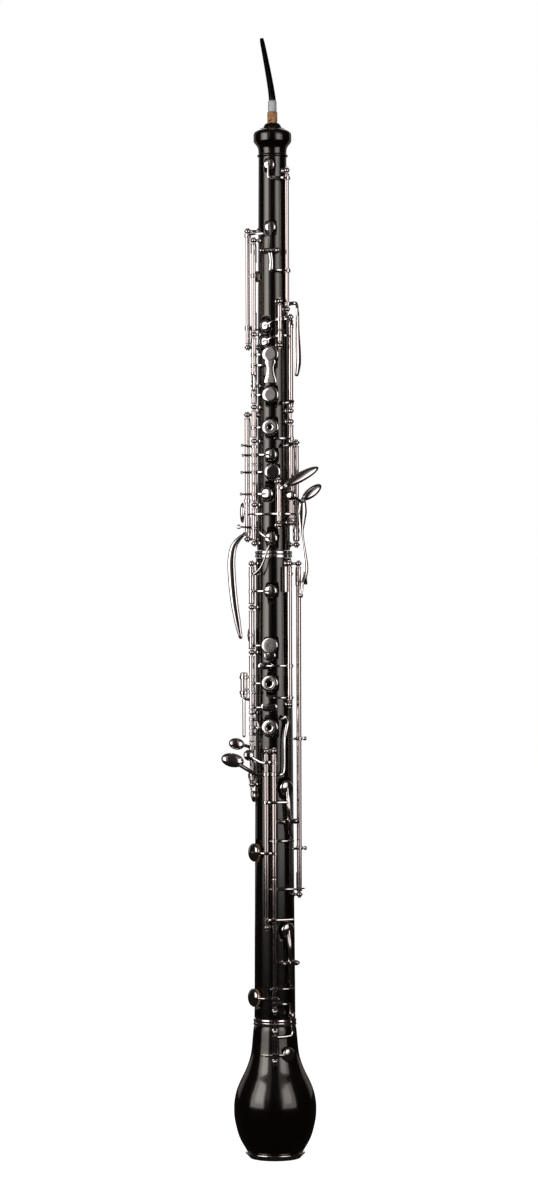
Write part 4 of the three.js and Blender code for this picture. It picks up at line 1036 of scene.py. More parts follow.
key = Key("second_octave_key", octave_line, up.octave_foot, up.octave_top, outer=THIN_TUBE)
over = key.over(up.octave_cup)
key.arm(
    up.octave_arm,
    [(0.9, 25.35, up.octave_arm), polar(over + 1.0, -1.2, up.octave_arm),
     polar(over + 0.9, -10.64, up.octave_arm + 0.3),
     polar(over + 0.8, seat.octave, up.octave_arm + 2.2), polar(over, seat.octave, up.octave_cup)],
    [1.35, 1.15, 1.1, 1.25, 1.15, 0.9], [1.1, 1.0, 0.95, 0.95, 0.9, 0.7],
)
key.lug(up.octave_arm, 90)
key.cup(seat.octave, up.octave_cup, SMALL_CUP)
key.reach(up.rocker_tail, -6, octave_cross.radius + TAIL_LIFT + GAP)
key.arm(
    up.side_touch,
    [(SPATULA_LIFT, 58, up.side_touch + 0.6), (SPATULA_LIFT, 70, up.side_touch - 1),
     (SPATULA_LIFT, 73, up.side_touch - 9)],
    [1.5, 1.5, 1.6, 1.5], 1.0,
)
key.bar(
    [(SPATULA_LIFT, 73, up.side_touch - 6), (SPATULA_LIFT, 72, up.side_touch - 20),
     (SPATULA_LIFT + 0.5, 71, up.side_touch - 36), (SPATULA_LIFT + 0.5, 70, up.side_touch - 46),
     (SPATULA_LIFT - 0.5, 69, up.side_touch_end)],
    [1.4, 1.9, 2.7, 2.9, 1.9], [1.2, 1.4, 1.8, 1.9, 1.4],
    facing=outward(38), steps=6, sides=18, square=1.0, back=0.3,
)
key.dress()

key = Key("thumb_octave_lever", thumb_line, up.thumb_foot, up.thumb_top, outer=THIN_TUBE)
thumb_reach = thumb_line.radius * 0.79
key.reach(up.thumb_arm, PLATE_ANGLE, octave_cross.radius + TAIL_LIFT, bulge=0.5)
key.reach(up.thumb_touch, -172, thumb_reach, bulge=0.5)
key.touch(polar(thumb_reach - GAP, 180, up.thumb_touch), outward(180), UP, PLATE, CUP, 1.6)
key.dress()

key = Key("upper_vent_key", stack_line, up.stack_top, up.vent_top, outer=THIN_TUBE)
key.domed(seat.vent, up.vent_cup, SMALL_CUP, rise=-0.2)
key.dress()

trill_tail = trill_line.radius + TAIL_LIFT
for name, tube, cup_angle, cup, arm, tail_angle in (
    ("upper_trill_key", (up.trill_split, up.trill_top, MEET_PLAY, POST_PLAY),
     seat.trill, up.trill_cup, up.trill_arm, 45),
    ("lower_trill_key", (up.trill_foot, up.trill_split, POST_PLAY, MEET_PLAY),
     seat.low_trill, up.low_trill_cup, up.low_trill_arm, 42),
):
    key = Key(name, trill_line, *tube)
    key.domed(cup_angle, cup, SMALL_CUP, arm, width=0.7)
    key.reach(arm, tail_angle, trill_tail)
    key.dress()

# Each lever has an almond-shaped touch that leans up to the finger.
for name, bottom, top, arm, arm_end, touch, tilt in (
    ("upper_trill_lever", up.right_split, up.right_top, up.right_arm,
     (42, trill_tail + TAIL_LIFT + GAP, up.trill_arm), up.right_touch, 0.0),
    ("lower_trill_lever", up.low_right_foot, up.low_right_top, up.low_right_arm,
     (3, right_line.radius + ARM), up.low_right_touch, 0.25),
):
    key = Key(name, right_line, bottom, top)
    key.reach(arm, *arm_end)
    centre = key.place((TAIL_LIFT, ALMOND_ANGLE, touch))
    middle = on_line(right_line, touch).lerp(centre, 0.5) + outward(ALMOND_ANGLE) * 0.5
    key.arm(touch, [middle, centre], 1.3)
    along = outward(ALMOND_ANGLE + 90) + UP * tilt
    key.touch(centre, Vector((0.1, -0.45, 0.9)), along, CUP, TUBE, 1.9)
    key.dress()

half_over = cup_top(upper, up.half_plate) - 1.5
key = Key("half_hole_key", stack_line, up.stack_one, up.stack_top)
key.finger_plate(PLATE_ANGLE, up.half_plate, plate_profile(PLATE))
key.reach(up.half_arm, PLATE_ANGLE - 12, half_over + 0.5)
key.plate(
    up.half_plate,
    ((-3.2, 3.6), (-6.4, 4.3), (-8.2, 3.2), (-10.6, 2.8), (-13.5, 3.0), (-16.5, 3.7), (-19.0, 4.5),
     (-21.2, 5.0), (-21.9, 4.7)),
    PLATE_ANGLE, half_over + 1.4,
)
key.tail(up.stack_one + 9.5, (3.4, -47, up.stack_one + 7.5))
key.touch((3.2, -46, up.stack_one + 2.0), outward(-46), UP, 7.6, 1.8, 1.4)
key.dress(OPEN_ANGLE)

key = Key("left_second_key", stack_line, up.stack_two, up.stack_one)
key.finger_plate(PLATE_ANGLE, up.second_plate, plate_profile(PLATE))
key.dress(OPEN_ANGLE)

key = Key("left_third_key", stack_line, up.stack_three, up.stack_two)
key.finger_plate(PLATE_ANGLE, up.third_plate, ring_plate_profile(PLATE, 1.6), hole=1.6)
key.dress(OPEN_ANGLE)

key = Key("b_flat_vent_key", stack_line, up.stack_four, up.stack_three, MEET_PLAY)
key.domed(seat.flat, up.flat_cup, CUP * 0.93)
key.tail(up.flat_cup, Vector((-23.6, -9.0, up.flat_cup)))
key.tail(up.stack_three - 4.4, Vector((-24.2, -9.0, up.stack_three - 3.2)))
key.dress(OPEN_ANGLE)

key = Key("g_key", stack_line, up.stack_five, up.stack_four, MEET_PLAY, MEET_PLAY)
key.finger_plate(seat.g, up.g_plate, plate_profile(PLATE * 0.96), pad=PLATE * 0.84)
key.tail(up.g_plate, Vector((-24.6, -9.0, up.g_plate)))
key.dress(OPEN_ANGLE)

key = Key("g_sharp_key", stack_line, up.stack_six, up.stack_five, top_play=MEET_PLAY)
key.domed(seat.sharp, up.sharp_cup, CUP, rise=0.4)
key.tail(up.sharp_cup, Vector((-25.2, -8.4, up.sharp_cup)))
key.dress()

bridge_reach = low_stack_line.radius + GAP
key = Key("bridge_vent_key", stack_line, up.stack_foot, up.stack_six)
key.domed(seat.low, up.low_cup, CUP, up.curved_arm, 0.5, bulge=0.7)
key.tail(up.curved_arm, Vector((-25.6, -9.2, up.curved_arm + 0.6)), eye=1.35)
key.bar(
    [polar(key.over(up.low_cup) + 0.3, seat.low, up.low_cup - 2.2),
     polar(bridge_reach - 0.2, -10, UPPER_FOOT + 2.0), polar(bridge_reach, -17, UPPER_FOOT - 6.0),
     polar(bridge_reach + 1.0, -28, low.bridge_arm + 4.5),
     polar(bridge_reach + TAIL_LIFT, -44, low.bridge_arm)],
    [1.0, 0.9, 0.85, 0.9, 1.4], 0.9, square=1.0,
)
key.dress(OPEN_ANGLE)

key = Key("left_little_finger_lever", flat_line, up.flat_lever_foot, up.flat_lever_top)
root = key.place((OVER_TUBE, 22, up.flat_leaf_foot))
tip = polar(LEAF_REACH, 71, up.flat_leaf_tip)
key.arm(up.flat_leaf_foot, [root - UP * 0.8, root.lerp(tip, 0.2)], 1.5)
key.leaf(root, tip, Vector((0.06, -1, 0.2)))
key.reach(up.cross_bar, STACK_ANGLE, flat_line.radius + MIDDLE)
key.reach(up.cross_bar, 60, flat_line.radius + MIDDLE - ARM)
key.dress()

key = Key("low_b_lever", lever_line, up.lever_foot, up.lever_top)
root = key.place((LEVER_LIFT, 72, up.lever_leaf_foot))
tip = polar(LEAF_REACH + 0.2, 86, up.lever_leaf_tip)
base = key.place((LEVER_LIFT, 74, up.lever_base))
teardrop = polar(flat_line.radius + MIDDLE, 40, up.teardrop)
lug_reach = long_line.radius + OVER_TUBE
foot_reach = lug_reach + TAIL_LIFT
key.saddle(up.lever_foot + 17, up.lever_foot + 11, up.lever_foot + 5)
key.arm(up.lever_base, [base, root, root.lerp(tip, 0.25)], 1.4)
key.leaf(root, tip, Vector((0.0, -1, 0.14)))
key.bar([base, base.lerp(teardrop, 0.5) + outward(55) * 0.6, teardrop], [1.2, 1.0, 1.4], 1.0)
key.touch(teardrop, Vector((-0.3, -1, 0.1)), UP, 3.8, 4.4, 2.4)
key.bar(
    [base + UP * 1.5, (LEVER_LIFT, 73, up.lever_base - 7),
     (LEVER_LIFT - 0.4, 73, up.lever_base - 15), (LEVER_LIFT - 0.8, 73, up.lever_bend + 8),
     (LEVER_LIFT, 74, up.lever_bend), polar(foot_reach, 72, low.long_lug + 14),
     polar(foot_reach, 68, low.long_lug + 6), polar(lug_reach + 1.8, 60, low.long_lug)],
    [2.4, 3.5, 2.5, 1.4, 1.25, 1.8, 1.7, 1.3], [1.6, 1.6, 1.4, 1.1, 1.0, 1.2, 1.2, 1.0],
    facing=outward(12), steps=6, square=1.0,
)
key.bar([polar(foot_reach, 68, low.long_lug + 5), polar(foot_reach, 72, low.long_lug)], 1.2)
key.bar(
    [polar(lug_reach + 1.8, 60, low.long_lug + 0.5), polar(lug_reach + 1, 57, low.long_lug - 8.5)],
    [1.3, 1.1], square=1.0,
)
key.touch(polar(lug_reach + 0.8, 57, low.long_lug - 9.5), outward(40), UP, 1.9, 1.9, 1.5, 18)
key.dress()

BLADE_WIDTH, BLADE_LENGTH = 15, 84
BLADE_LINE = [
    (-0.1, 1.0), (-0.42, 0.945), (-0.66, 0.875), (-0.76, 0.77), (-0.76, 0.66), (-0.7, 0.5),
    (-0.6, 0.34), (-0.45, 0.18), (-0.3, 0.045),
]
BLADE_HALF = [1.1, 2.0, 2.7, 3.05, 3.15, 3.1, 2.9, 2.5, 1.5]
key = Key("right_side_key", side_line, up.side_foot, up.side_top)
root = key.place((1, side_line.angle, up.side_lever - BLADE_LENGTH)) - Vector((0, 2.75, 0))
blade = [root + Vector((x * BLADE_WIDTH, 0, z * BLADE_LENGTH)) for x, z in BLADE_LINE]
d_touch = key.place((3.4, -84, up.stack_foot + 24))
key.saddle(up.stack_foot + 33)
key.touch(d_touch, outward(-84), UP, 8.0, 3.4, 2.2)
key.bar([on_line(side_line, up.stack_foot + 24), d_touch], 1.5)
key.arm(
    up.side_lever, [(OVER_TUBE, side_line.angle + 8, up.side_lever), *blade[:2]],
    [1.4, 1.4, 1.3, 1.5], 1.0,
)
key.bar(
    blade, BLADE_HALF, 2.0, facing=Vector((-0.14, -1, -0.05)), sides=20, square=0.75, back=0.35,
)
key.dress()


# Rockers

def dress_rocker(name, line, cup_at, tail_at, rest=0.0):
    """A rocker on its cross rod: an arm to its cup, and opposite it the tail that is lifted."""
    cup_angle, cup_height, radius = cup_at
    tail_angle, tail_height = tail_at
    length = 2 * (ROCKER_SPAN - POST_PLAY)
    centre = across(line, 0)
    axis = across(line, 1) - centre
    profile = [(TUBE_BORE, 0), (TUBE, 0), (TUBE, length), (TUBE_BORE, length), (TUBE_BORE, 0)]
    inner, outer = TUBE - 0.1, TUBE + 0.4
    collar = [(inner, 0), (outer, 0.2), (outer, 3.0), (inner, 3.2), (inner, 0)]
    tail_end = polar(line.radius, tail_angle, tail_height)
    away = outward(line.angle + 90) * math.copysign(1, line.angle)
    facing = outward(line.angle * 0.5)
    cup_end = polar(cup_top(line.wood, cup_height) - 0.1, cup_angle, cup_height)
    over_cup = centre.lerp(cup_end, 0.45) + outward(cup_angle) * 0.8 - away * 0.5
    over_tail = centre.lerp(tail_end, 0.5) + outward(tail_angle) * 0.3 - away * 0.8
    silver = [
        spin(collar, 20, centre - axis * 1.6, axis),
        bent([centre, over_cup, cup_end], [1.8, 1.4, 1.1], [1.4, 1.1, 0.8], facing),
        bent([centre, over_tail, tail_end], [1.8, 1.5, 1.7], [1.4, 1.1, 0.9], facing),
        on_seat(dome_profile(radius), line.wood, cup_angle, cup_height),
    ]
    pads = [on_seat(pad_profile(radius), line.wood, cup_angle, cup_height)]
    tube = spin(profile, 20, across(line, -length / 2), axis)
    dress_key(name, [tube], silver, pads, [], (centre, axis, rest))


dress_rocker(
    "first_octave_key", octave_cross, (seat.rocker, up.rocker_cup, SMALL_CUP), (-6, up.rocker_tail),
)
dress_rocker(
    "c_sharp_rocker", sharp_cross, (seat.sharp_rocker, low.rocker_cup, ROCKER_CUP),
    (46, low.rocker_tail), ROCKER_OPEN,
)
dress_rocker(
    "low_rocker", low_cross, (seat.low_rocker, low.low_rocker_cup, ROCKER_CUP),
    (44, low.low_rocker_tail), ROCKER_OPEN,
)


# Keys of the lower joint

key = Key("bridge_key", low_stack_line, low.stack_one, low.top, outer=THICK_TUBE)
key.domed(seat.bridge, low.bridge_cup, CUP)
key.reach(low.bridge_arm, -36, bridge_reach - TAIL_LIFT)
key.dress(OPEN_ANGLE)

key = Key("right_first_key", low_stack_line, low.stack_two, low.stack_one, outer=THICK_TUBE)
key.finger_plate(LOW_PLATE_ANGLE, low.first_plate, plate_profile(PLATE, shoulder=0.45), short=20)
moon_over = key.over(low.first_plate) - 1.5
key.plate(
    low.first_plate,
    ((-6.3, 4.3), (-7.2, 4.75), (-8.6, 4.6), (-10.0, 3.9), (-11.2, 2.7), (-11.8, 1.4)),
    LOW_PLATE_ANGLE, moon_over + 1.3, thick=1.1, facing=-3,
)
tie = [polar(moon_over + 0.8, LOW_PLATE_ANGLE, low.first_plate - drop) for drop in (5.6, 8.5)]
key.bar(tie, 2.2, 0.45)
side_radius = lower.outside(low.first_plate) + 3.6
side_cup = (36, polar(side_radius, -94, low.first_plate + 8), outward(-88))
key.reach(low.first_plate + 8, -92, side_radius + FULL_CUP)
key.silver.append(spin(dome_profile(CUP * 1.15), *side_cup))
key.pads.append(spin(pad_profile(CUP * 1.15), *side_cup))
key.dress(OPEN_ANGLE)

REGULATOR_LIFT = 0.9
BAR_RADIUS = 24.6
BAR_ANGLE = -72
ROLLER_RADIUS, ROLLER_LENGTH = 3.5, 19.5
ROLLER_SHARES = [
    (0, 0.6), (0.04, 0.8), (0.12, 0.8), (0.16, 1.0), (0.24, 1.0), (0.28, 0.78), (0.72, 0.78),
    (0.76, 1.0), (0.84, 1.0), (0.88, 0.85), (0.96, 0.85), (1, 0.6),
]
edge_radius = low_stack_line.radius - ARM
key = Key("right_second_key", low_stack_line, low.stack_three, low.stack_two, outer=THICK_TUBE)
key.finger_plate(
    LOW_PLATE_ANGLE, low.second_plate, ring_plate_profile(PLATE, 2.3), hole=2.3, short=20,
)
key.reach(low.edge_plate, LOW_PLATE_ANGLE - 18, edge_radius)
key.plate(
    low.edge_plate,
    ((2.9, 5.2), (2.3, 6.2), (0.9, 6.7), (-0.8, 6.5), (-2.0, 5.4), (-2.7, 3.6), (-3.1, 1.5)),
    LOW_PLATE_ANGLE, edge_radius + 1.6, thick=1.4, facing=-1,
)
roller = [(ROLLER_RADIUS * wide, ROLLER_LENGTH * rise) for rise, wide in ROLLER_SHARES]
roller_foot = polar(BAR_RADIUS, BAR_ANGLE, low.second_plate + 8.5 - ROLLER_LENGTH)
key.silver.append(spin([(0, 0), *roller, (0, ROLLER_LENGTH)], 20, roller_foot, UP))
for height in (low.second_plate + 5.2, low.second_plate - 4.6):
    key.tail(height, polar(BAR_RADIUS - 0.4, BAR_ANGLE + 4, height))
bar_heights = (low.stack_three + 7, low.stack_three - 12, low.stack_four + 5)
key.bar(
    [on_line(low_stack_line, low.stack_three + 10),
     polar(BAR_RADIUS - 0.4, BAR_ANGLE, low.stack_three + 10.5),
     *(polar(BAR_RADIUS, BAR_ANGLE, height) for height in bar_heights)],
    [1.3, 1.2, 1.5, 1.5, 1.6], square=1.0,
)
key.tail(low.second_plate - 7.0, (REGULATOR_LIFT, -48, low.second_plate - 7.4))
key.tail(low.edge_plate - 3.6, (REGULATOR_LIFT, -50, low.edge_plate - 3.6))
key.dress(OPEN_ANGLE)

key = Key("right_third_key", low_stack_line, low.stack_four, low.stack_three, MEET_PLAY)
key.finger_plate(
    LOW_PLATE_ANGLE, low.third_plate, ring_plate_profile(PLATE, 1.8), hole=1.8, short=20,
)
screw_heights = (low.third_plate + 6.2, low.third_plate - 5.0)
ends = [(REGULATOR_LIFT, -47, height) for height in screw_heights]
for height, end in zip(screw_heights, ends):
    key.tail(height, end)
    place = key.place((REGULATOR_LIFT + 1.0, -47, height))
    key.screws.append(adjusting_screw(place, outward(-40), 1.1))
hoop = [(REGULATOR_LIFT, -37, low.third_plate + rise) for rise in (3.6, -2.2)]
key.bar([ends[0], *hoop, ends[1]], 0.75, square=1.0)
key.dress(OPEN_ANGLE)

EGG_FACING, EGG_ALONG = Vector((0.02, -1, 0.22)), Vector((-1, 0, 0.2))
key = Key(
    "right_little_finger_key", low_stack_line, low.stack_foot, low.stack_four, top_play=MEET_PLAY,
)
egg = key.place((OVER_TUBE * 3.4, -72, low.flat_touch))
middle = on_line(low_stack_line, low.flat_touch_arm).lerp(egg, 0.5) + UP * 0.4
key.arm(low.flat_touch_arm, [middle, egg], [1.6, 1.4, 1.8], 1.2)
key.touch(egg, EGG_FACING, EGG_ALONG, 6.2, 4.65, 3.3)
cup_end = polar(key.over(low.flat_cup), seat.little, low.flat_cup)
key.arm(low.flat_arm, [(GAP, -88, low.flat_arm - 1), cup_end])
key.cup(seat.little, low.flat_cup, SMALL_CUP)
key.dress(CLOSING_ANGLE)

spoon_over = vent_line.radius - TAIL_LIFT
key = Key("right_vent_key", vent_line, low.vent_foot, low.top)
key.reach(low.vent_arm, -24, spoon_over + 0.4)
key.plate(
    low.vent_arm, ((2.8, 2.2), (2.4, 4.2), (1.1, 5.9), (-0.7, 6.1), (-2.1, 4.4), (-2.7, 2.2)),
    -23, spoon_over + 1.5, thick=1.3, facing=-5,
)
key.reach(low.link_arm, 0, vent_line.radius)
key.plate(low.top, ((-2.5, 1.3), (-22, 1.3)), 31, vent_line.radius + 1.2, thick=0.8)
key.reach(low.top - 8, 31, vent_line.radius + 0.8)
key.dress()

key = Key("long_lever", long_line, low.long_foot, low.top)
key.arm(low.long_lug, [(OVER_TUBE, 72, low.long_lug)], [1.5, 1.3])
# Two bars over the outer tube, each with a ball end outside and an arm to the front.
for height, angle in ((low.long_low_lug, 50), (low.long_arm, 44)):
    ball = (OVER_TUBE + ARM, 72, height)
    key.saddle(height)
    key.bar([ball, (0.8, long_line.angle, height), (0, angle, height)], [1.5, 1.2, 1.0], 1.0)
    key.touch(ball, outward(72), UP, 1.7, 1.7, 1.2, 16)
key.dress()

over_c = c_line.radius + OVER_TUBE + GAP
egg = polar(low_stack_line.radius + OVER_TUBE * 4.5, -68, low.c_touch)
key = Key("low_c_key", c_line, low.c_foot, low.low_top)
key.arm(low.c_touch_arm, [polar(over_c, -38, low.c_touch_arm), egg], [1.7, 1.4, 1.9], 1.2)
key.touch(egg, EGG_FACING, EGG_ALONG, 9.0, 5.6, 3.6)
key.saddle(low.c_foot + 6.5, half=1.0)
# Two arms that pass over the tube beside this one.
for height, radius, angle in ((low.c_arm, over_c - GAP, 26), (low.c_low_arm, over_c, 38)):
    places = [polar(over_c, -10, height), polar(over_c, 6, height), polar(radius, angle, height)]
    key.arm(height, places, [1.5, 1.2, 1.1, 1.0], 1.0)
key.dress()

button = polar(low_stack_line.radius + OVER_TUBE * 1.6, -52, low.sharp_touch)
key = Key("c_sharp_key", low_line, low.low_split, low.low_top, MEET_PLAY)
cup_end = polar(key.over(low.sharp_cup) + THICK_PAD, seat.open, low.sharp_cup)
# Two arms that pass over the front rod's tube, to the round touch and to the open cup.
for height, near, far, end in (
    (low.sharp_touch_arm, -12, -27, button), (low.sharp_cup, -10, -28, cup_end),
):
    places = [polar(over_c, near, height), polar(over_c, far, height), end]
    key.arm(height, places, [1.5, 1.2, 1.1, 1.1], 1.0)
key.touch(button, EGG_FACING, UP, 4.4, 4.4, 3.2)
key.arm(
    low.c_touch_arm,
    [(0.6, 14, low.c_touch_arm - 0.5), (0, 23, low.c_touch_arm + 3), (0, 24, low.crescent - 20),
     (0, 25, low.crescent - 10)],
    [1.3, 1.2, 1.1, 1.1, 1.3],
)
key.bar(
    [(0.4, 19, low.crescent + 4.0), (0.4, 26, low.crescent + 5.4), (0.4, 33.5, low.crescent + 1.5),
     (0.4, 29, low.crescent - 4.8), (0.2, 25, low.crescent - 11)],
    [1.2, 1.9, 2.2, 1.8, 1.2], [0.9, 1.2, 1.3, 1.2, 1.0], sides=14, square=1.0,
)
key.reach(low.sharp_rocker, 46, sharp_cross.radius + TAIL_LIFT + GAP)
key.cup(seat.open, low.sharp_cup, OPEN_CUP, lift=THICK_PAD)
key.dress(CLOSING_ANGLE)

key = Key("low_b_key", low_line, low.low_foot, low.low_split, top_play=MEET_PLAY)
key.reach(low.low_link, 64, lug_reach + TAIL_LIFT)
key.saddle(low.low_split - 5.5, half=1.0)
key.reach(low.low_rocker, 44, low_cross.radius + TAIL_LIFT + GAP)
key.domed(seat.open, low.low_cup, OPEN_CUP, rise=THICK_PAD, lift=THICK_PAD)
key.arm(
    low.bell_link,
    [(ARM + 0.4, 20, low.bell_link), (ARM, 36, low.bell_link - 1.2), (ARM, 37, low.bell_link_tip)],
    [1.3, 1.2, 1.3, 1.7],
)
key.dress(CLOSING_ANGLE)

bridge_over = low_line.radius + ARM + TAIL_LIFT
key = Key("bell_key", bell_line, bel.foot, bel.top)
key.domed(seat.bell, bel.cup, CUP, rise=0.2)
key.tail(bel.cup, (-0.4, -26, bel.cup))
key.arm(
    bel.arm,
    [polar(bridge_over - 0.5, 26, bel.arm + 0.5), polar(bridge_over, 37, bel.arm + 3),
     polar(bridge_over, 37, bel.link_top)],
    [1.3, 1.2, 1.4, 2.2],
)
key.dress()


# Thumb rest and bocal

plate_base = lower.outside(low.thumb_rest - 13) - 0.1
hook_root = plate_base + 1.2


def curved_plate(radius, thickness, half_degrees, half_height, middle):
    """A plate bent round the wood, with rounded corners."""
    columns, rows = 12, 10
    points = []
    for lift in (thickness, 0):
        for j in range(rows + 1):
            v = 2 * j / rows - 1
            reach = half_degrees * (1 - 0.3 * abs(v) ** 4)
            for i in range(columns + 1):
                angle = 180 + reach * (2 * i / columns - 1)
                points.append(polar(radius + lift, angle, middle + v * half_height))
    count = len(points) // 2
    wide = columns + 1
    faces = []
    for a in (j * wide + i for j in range(rows) for i in range(columns)):
        faces.append((a, a + 1, a + 1 + wide, a + wide))
        faces.append((count + a + wide, count + a + 1 + wide, count + a + 1, count + a))
    border = list(range(wide)) + [j * wide + columns for j in range(1, rows + 1)]
    border += [rows * wide + i for i in range(columns - 1, -1, -1)]
    border += [j * wide for j in range(rows - 1, 0, -1)]
    faces += [(a, b, count + b, count + a) for a, b in zip(border, border[1:] + border[:1])]
    return points, faces


hook_points = [
    Vector((0, hook_root + back, low.thumb_rest + rise))
    for back, rise in ((0, 0), (5, -0.2), (11, 0.4), (15.2, 2.2))
]
LOOP_RADIUS = 4.2
loop_centre = Vector((0, plate_base + 1.6 + LOOP_RADIUS, low.thumb_rest + 13 - LOOP_RADIUS))
dress(
    "thumb_rest_metal",
    [
        curved_plate(plate_base, 1.5, 26, 13, low.thumb_rest),
        bent(hook_points, [4.6, 5.6, 6.0, 5.2], [1.3, 1.1, 1.0, 0.9], UP, steps=6, sides=16,
             square=0.6),
        wire_ring(loop_centre, Vector((0, 1, 0)), LOOP_RADIUS, 0.95, Vector((1, 0, 0)), 24, 12),
        [adjusting_screw(polar(plate_base + 2.2, angle, low.thumb_rest + rise), outward(angle), 1.3)
         for angle, rise in ((166, 8.5), (194, 8.5), (180, -9.5))],
    ],
    silver_plate, "horn_body", ["thumb_rest"],
)

BOCAL_FOOT = TOP + 17.9
BOCAL_BEND = BOCAL_FOOT + 6.92
BOCAL_BORE = 1.0
BOCAL_RADIUS = 2.2
BOCAL_TIP = Vector((-8.2, 20.0, TOP + 69.2))


def pipe(path, radii, bore, sides=28):
    """A tube with a real bore, which narrows to a thin lip at its end."""
    last = len(path) - 1
    stations = [(i, radii[i]) for i in range(last + 1)] + [(i, bore) for i in range(last, -1, -1)]
    rings = []
    for i, radius in stations:
        x, _, z = basis(path[min(i + 1, last)] - path[max(i - 1, 0)], Vector((0, 1, 0)))
        rings.append([
            path[i] + (x * math.cos(turn) + z * math.sin(turn)) * radius for turn in turns_of(sides)
        ])
    return loft(rings, True)


BOCAL_STEPS = 24
bocal_path = [Vector((0, 0, TOP - 15.7)), Vector((0, 0, BOCAL_FOOT - 0.3))]
bocal_outer = [BOCAL_RADIUS, BOCAL_RADIUS]
for step in range(BOCAL_STEPS + 1):
    t = step / BOCAL_STEPS
    straight = UP * (BOCAL_FOOT * (1 - t) ** 2 + BOCAL_BEND * 2 * t * (1 - t))
    bocal_path.append(straight + BOCAL_TIP * t ** 2)
    bocal_outer.append(1.7 + 1.1 * (1 - t) ** 0.6)
bocal_outer[-1] = 1.55
tube = pipe(bocal_path, bocal_outer, BOCAL_BORE)
dress("bocal_plated_tube", [tube], black_plate, "horn_body", ["bocal_tube"])
for name, node, finish, run in (
    ("bocal_ferrule_sleeve", "bocal_ferrule", matt_silver,
     [(3.1, 9.0), (3.35, 9.3), (3.4, 11), (3.3, 17.1), (3.05, 17.6)]),
    ("bocal_cork_sleeve", "bocal_cork", cork,
     [(3.5, -15.4), (3.9, -14.8), (3.95, 8.4), (3.6, 8.85)]),
):
    sleeve = ring_of(BOCAL_RADIUS + 0.1, [(radius, TOP + rise) for radius, rise in run])
    dress(name, [sleeve], finish, "horn_body", [node])


# Studio

WHITE = linear("#ffffff")


def seen_directly(tree):
    """1 for what the camera, a mirror or a clear body shows, 0 for light that falls on the horn."""
    rays = add(tree, "ShaderNodeLightPath").outputs
    seen = rays["Is Camera Ray"]
    for more in (rays["Is Glossy Ray"], rays["Is Transmission Ray"]):
        seen = add(tree, "ShaderNodeMath", [(0, seen), (1, more)], operation="MAXIMUM").outputs[0]
    return seen


def paper():
    """White studio paper: it shows as white and still darkens a little where the horn shades it."""
    material, tree = finish_named("white_studio_paper")
    seen = seen_directly(tree)
    level = add(tree, "ShaderNodeMapRange", [("Value", seen)], To_Min=0.0, To_Max=0.9)
    dull = add(tree, "ShaderNodeBsdfDiffuse", Color=linear("#bcbcbc"))
    glow = add(tree, "ShaderNodeEmission", [("Strength", level.outputs["Result"])], Color=WHITE)
    shaders = [(0, dull.outputs["BSDF"]), (1, glow.outputs["Emission"])]
    both = add(tree, "ShaderNodeAddShader", shaders)
    add(tree, "ShaderNodeOutputMaterial", [("Surface", both.outputs["Shader"])])
    return material


def staged(name, points, faces, finish):
    mesh = bpy.data.meshes.new(name)
    mesh.from_pydata([Vector(point) for point in points], [], faces)
    mesh.materials.append(finish)
    made = placed(name, mesh)
    return made


FLOOR_HALF = 6.0
staged(
    "studio_floor",
    [(x * FLOOR_HALF, y * FLOOR_HALF, 0) for x, y in ((-1, -1), (1, -1), (1, 1), (-1, 1))],
    [(0, 1, 2, 3)], paper(),
)

world = bpy.data.worlds.new("studio")
world.use_nodes = True
room = world.node_tree
room.nodes.clear()
level = add(room, "ShaderNodeMapRange", [("Value", seen_directly(room))], To_Min=0.25, To_Max=1.0)
walls_glow = add(room, "ShaderNodeBackground", [("Strength", level.outputs["Result"])], Color=WHITE)
add(room, "ShaderNodeOutputWorld", [("Surface", walls_glow.outputs["Background"])])
bpy.context.scene.world = world

SURROUND = 1.9
SURROUND_TOP = 2.3


def card_finish(name, *stops):
    """A dark card, graded from its foot upwards by (height in metres, colour) pairs."""
    material, tree = finish_named(name)
    places = add(tree, "ShaderNodeTexCoord")
    parts = add(tree, "ShaderNodeSeparateXYZ", [("Vector", places.outputs["Object"])])
    ramp = add(tree, "ShaderNodeValToRGB", [("Fac", parts.outputs["Z"])])
    shade = colours(ramp, stops)
    glow = add(tree, "ShaderNodeEmission", [("Color", shade)], Strength=1.0)
    add(tree, "ShaderNodeOutputMaterial", [("Surface", glow.outputs["Emission"])])
    return material


def flag(name, points, faces, finish):
    """A card that only mirrored rays meet: it gives the metal its dark edges and costs no light."""
    card = staged(name, points, faces, finish)
    card.visible_camera = card.visible_diffuse = False
    card.visible_transmission = card.visible_shadow = False


def wall_flag(name, start_degrees, end_degrees, *stops):
    steps = 10
    points, faces = [], []
    for i in range(steps + 1):
        place = polar(SURROUND, start_degrees + (end_degrees - start_degrees) * i / steps, 0)
        points += [(place.x, place.y, 0.0), (place.x, place.y, SURROUND_TOP)]
        if i:
            faces.append((2 * i - 2, 2 * i, 2 * i + 1, 2 * i - 1))
    flag(name, points, faces, card_finish(name + "_card", *stops))


def level_flag(name, height, colour):
    rim = [polar(SURROUND, degrees, height) for degrees in range(0, 360, 15)]
    card = card_finish(name + "_card", (0, colour), (1, colour))
    flag(name, rim, [tuple(range(len(rim)))], card)


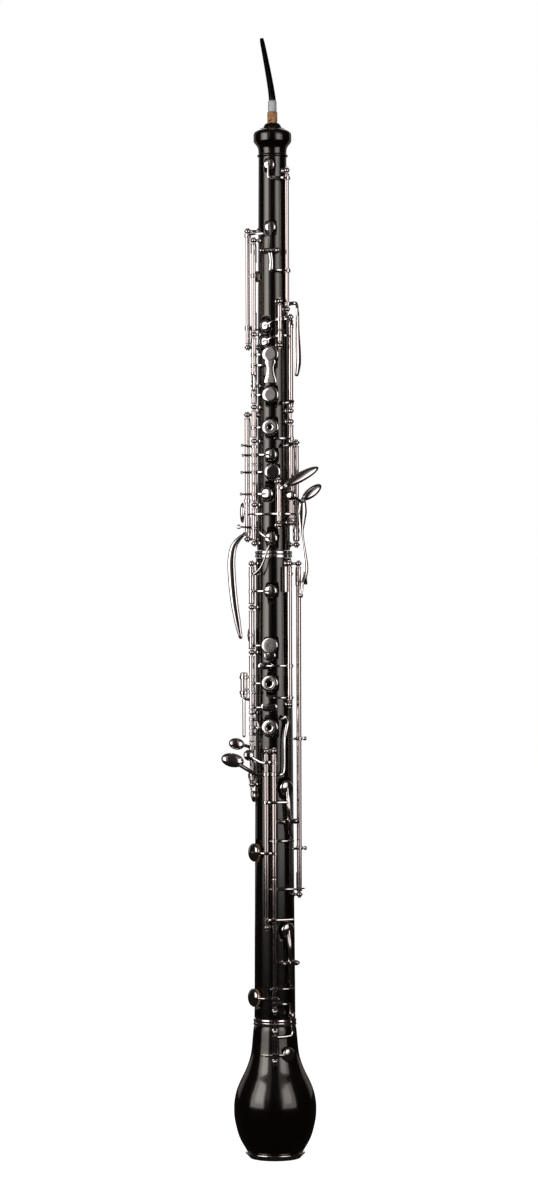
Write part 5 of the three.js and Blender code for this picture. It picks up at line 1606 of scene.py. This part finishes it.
GREY_CARD = [(0, "#2a2929"), (0.36, "#474646"), (0.6, "#7c7a7a"), (0.8, "#8e8c8c")]
wall_flag("left_front_flag", -60, -17, *GREY_CARD)
wall_flag("front_flag", -17, 15, (0, "#141212"), (1, "#2a2828"))
wall_flag("right_front_flag", 15, 48, *GREY_CARD)
wall_flag("left_flag", -165, -60, (0, "#151313"), (1, "#241f1e"))
wall_flag("right_flag", 48, 165, (0, "#151313"), (1, "#241f1e"))
level_flag("low_flag", 0.0004, "#191716")
level_flag("high_flag", SURROUND_TOP, "#363333")


def softbox(name, degrees, distance, width, bottom, top, brightness):
    """A tall soft lamp that faces the horn; its brightness is per area, as a mirror shows it."""
    lamp = bpy.data.lights.new(name, "AREA")
    lamp.shape = "RECTANGLE"
    lamp.size = width
    lamp.size_y = top - bottom
    lamp.energy = brightness * math.pi * width * (top - bottom)
    made = placed(name, lamp)
    made.location = polar(distance, degrees, (top + bottom) / 2)
    made.rotation_euler = outward(degrees).to_track_quat("Z", "Y").to_euler()


softbox("left_lamp", -53, 1.6, 1.2, 0.1, 1.38, 1.7)
softbox("left_core", -48, 1.55, 0.7, 0.3, 1.3, 1.3)
softbox("right_lamp", 41, 1.6, 1.15, 0.1, 1.28, 1.1)
softbox("right_core", 38, 1.55, 0.6, 0.3, 1.22, 0.9)
softbox("left_rear", -138, 1.6, 0.75, 0.1, 1.9, 0.2)
softbox("right_rear", 138, 1.6, 0.75, 0.1, 1.9, 0.2)

# The photograph: 538 by 1200 pixels, 0.78 mm each at the bore, seen level from 2.6 m.
CAMERA_DISTANCE, CAMERA_SIDE, CAMERA_HEIGHT, CAMERA_ROLL = 2.6, -0.0037, 0.435, -0.0029
PICTURE_HEIGHT = 1200 * 0.78 * MM
SENSOR = 36.0
camera_data = bpy.data.cameras.new("camera")
camera_data.sensor_fit = "AUTO"
camera_data.sensor_width = SENSOR
camera_data.lens = SENSOR * CAMERA_DISTANCE / PICTURE_HEIGHT
camera = placed("camera", camera_data)
camera.location = (CAMERA_SIDE, -CAMERA_DISTANCE, CAMERA_HEIGHT)
camera.rotation_euler = (math.radians(90), 0, 0)
camera.rotation_euler.rotate_axis("Z", CAMERA_ROLL)
bpy.context.scene.camera = camera
bpy.context.scene.view_settings.view_transform = "Standard"
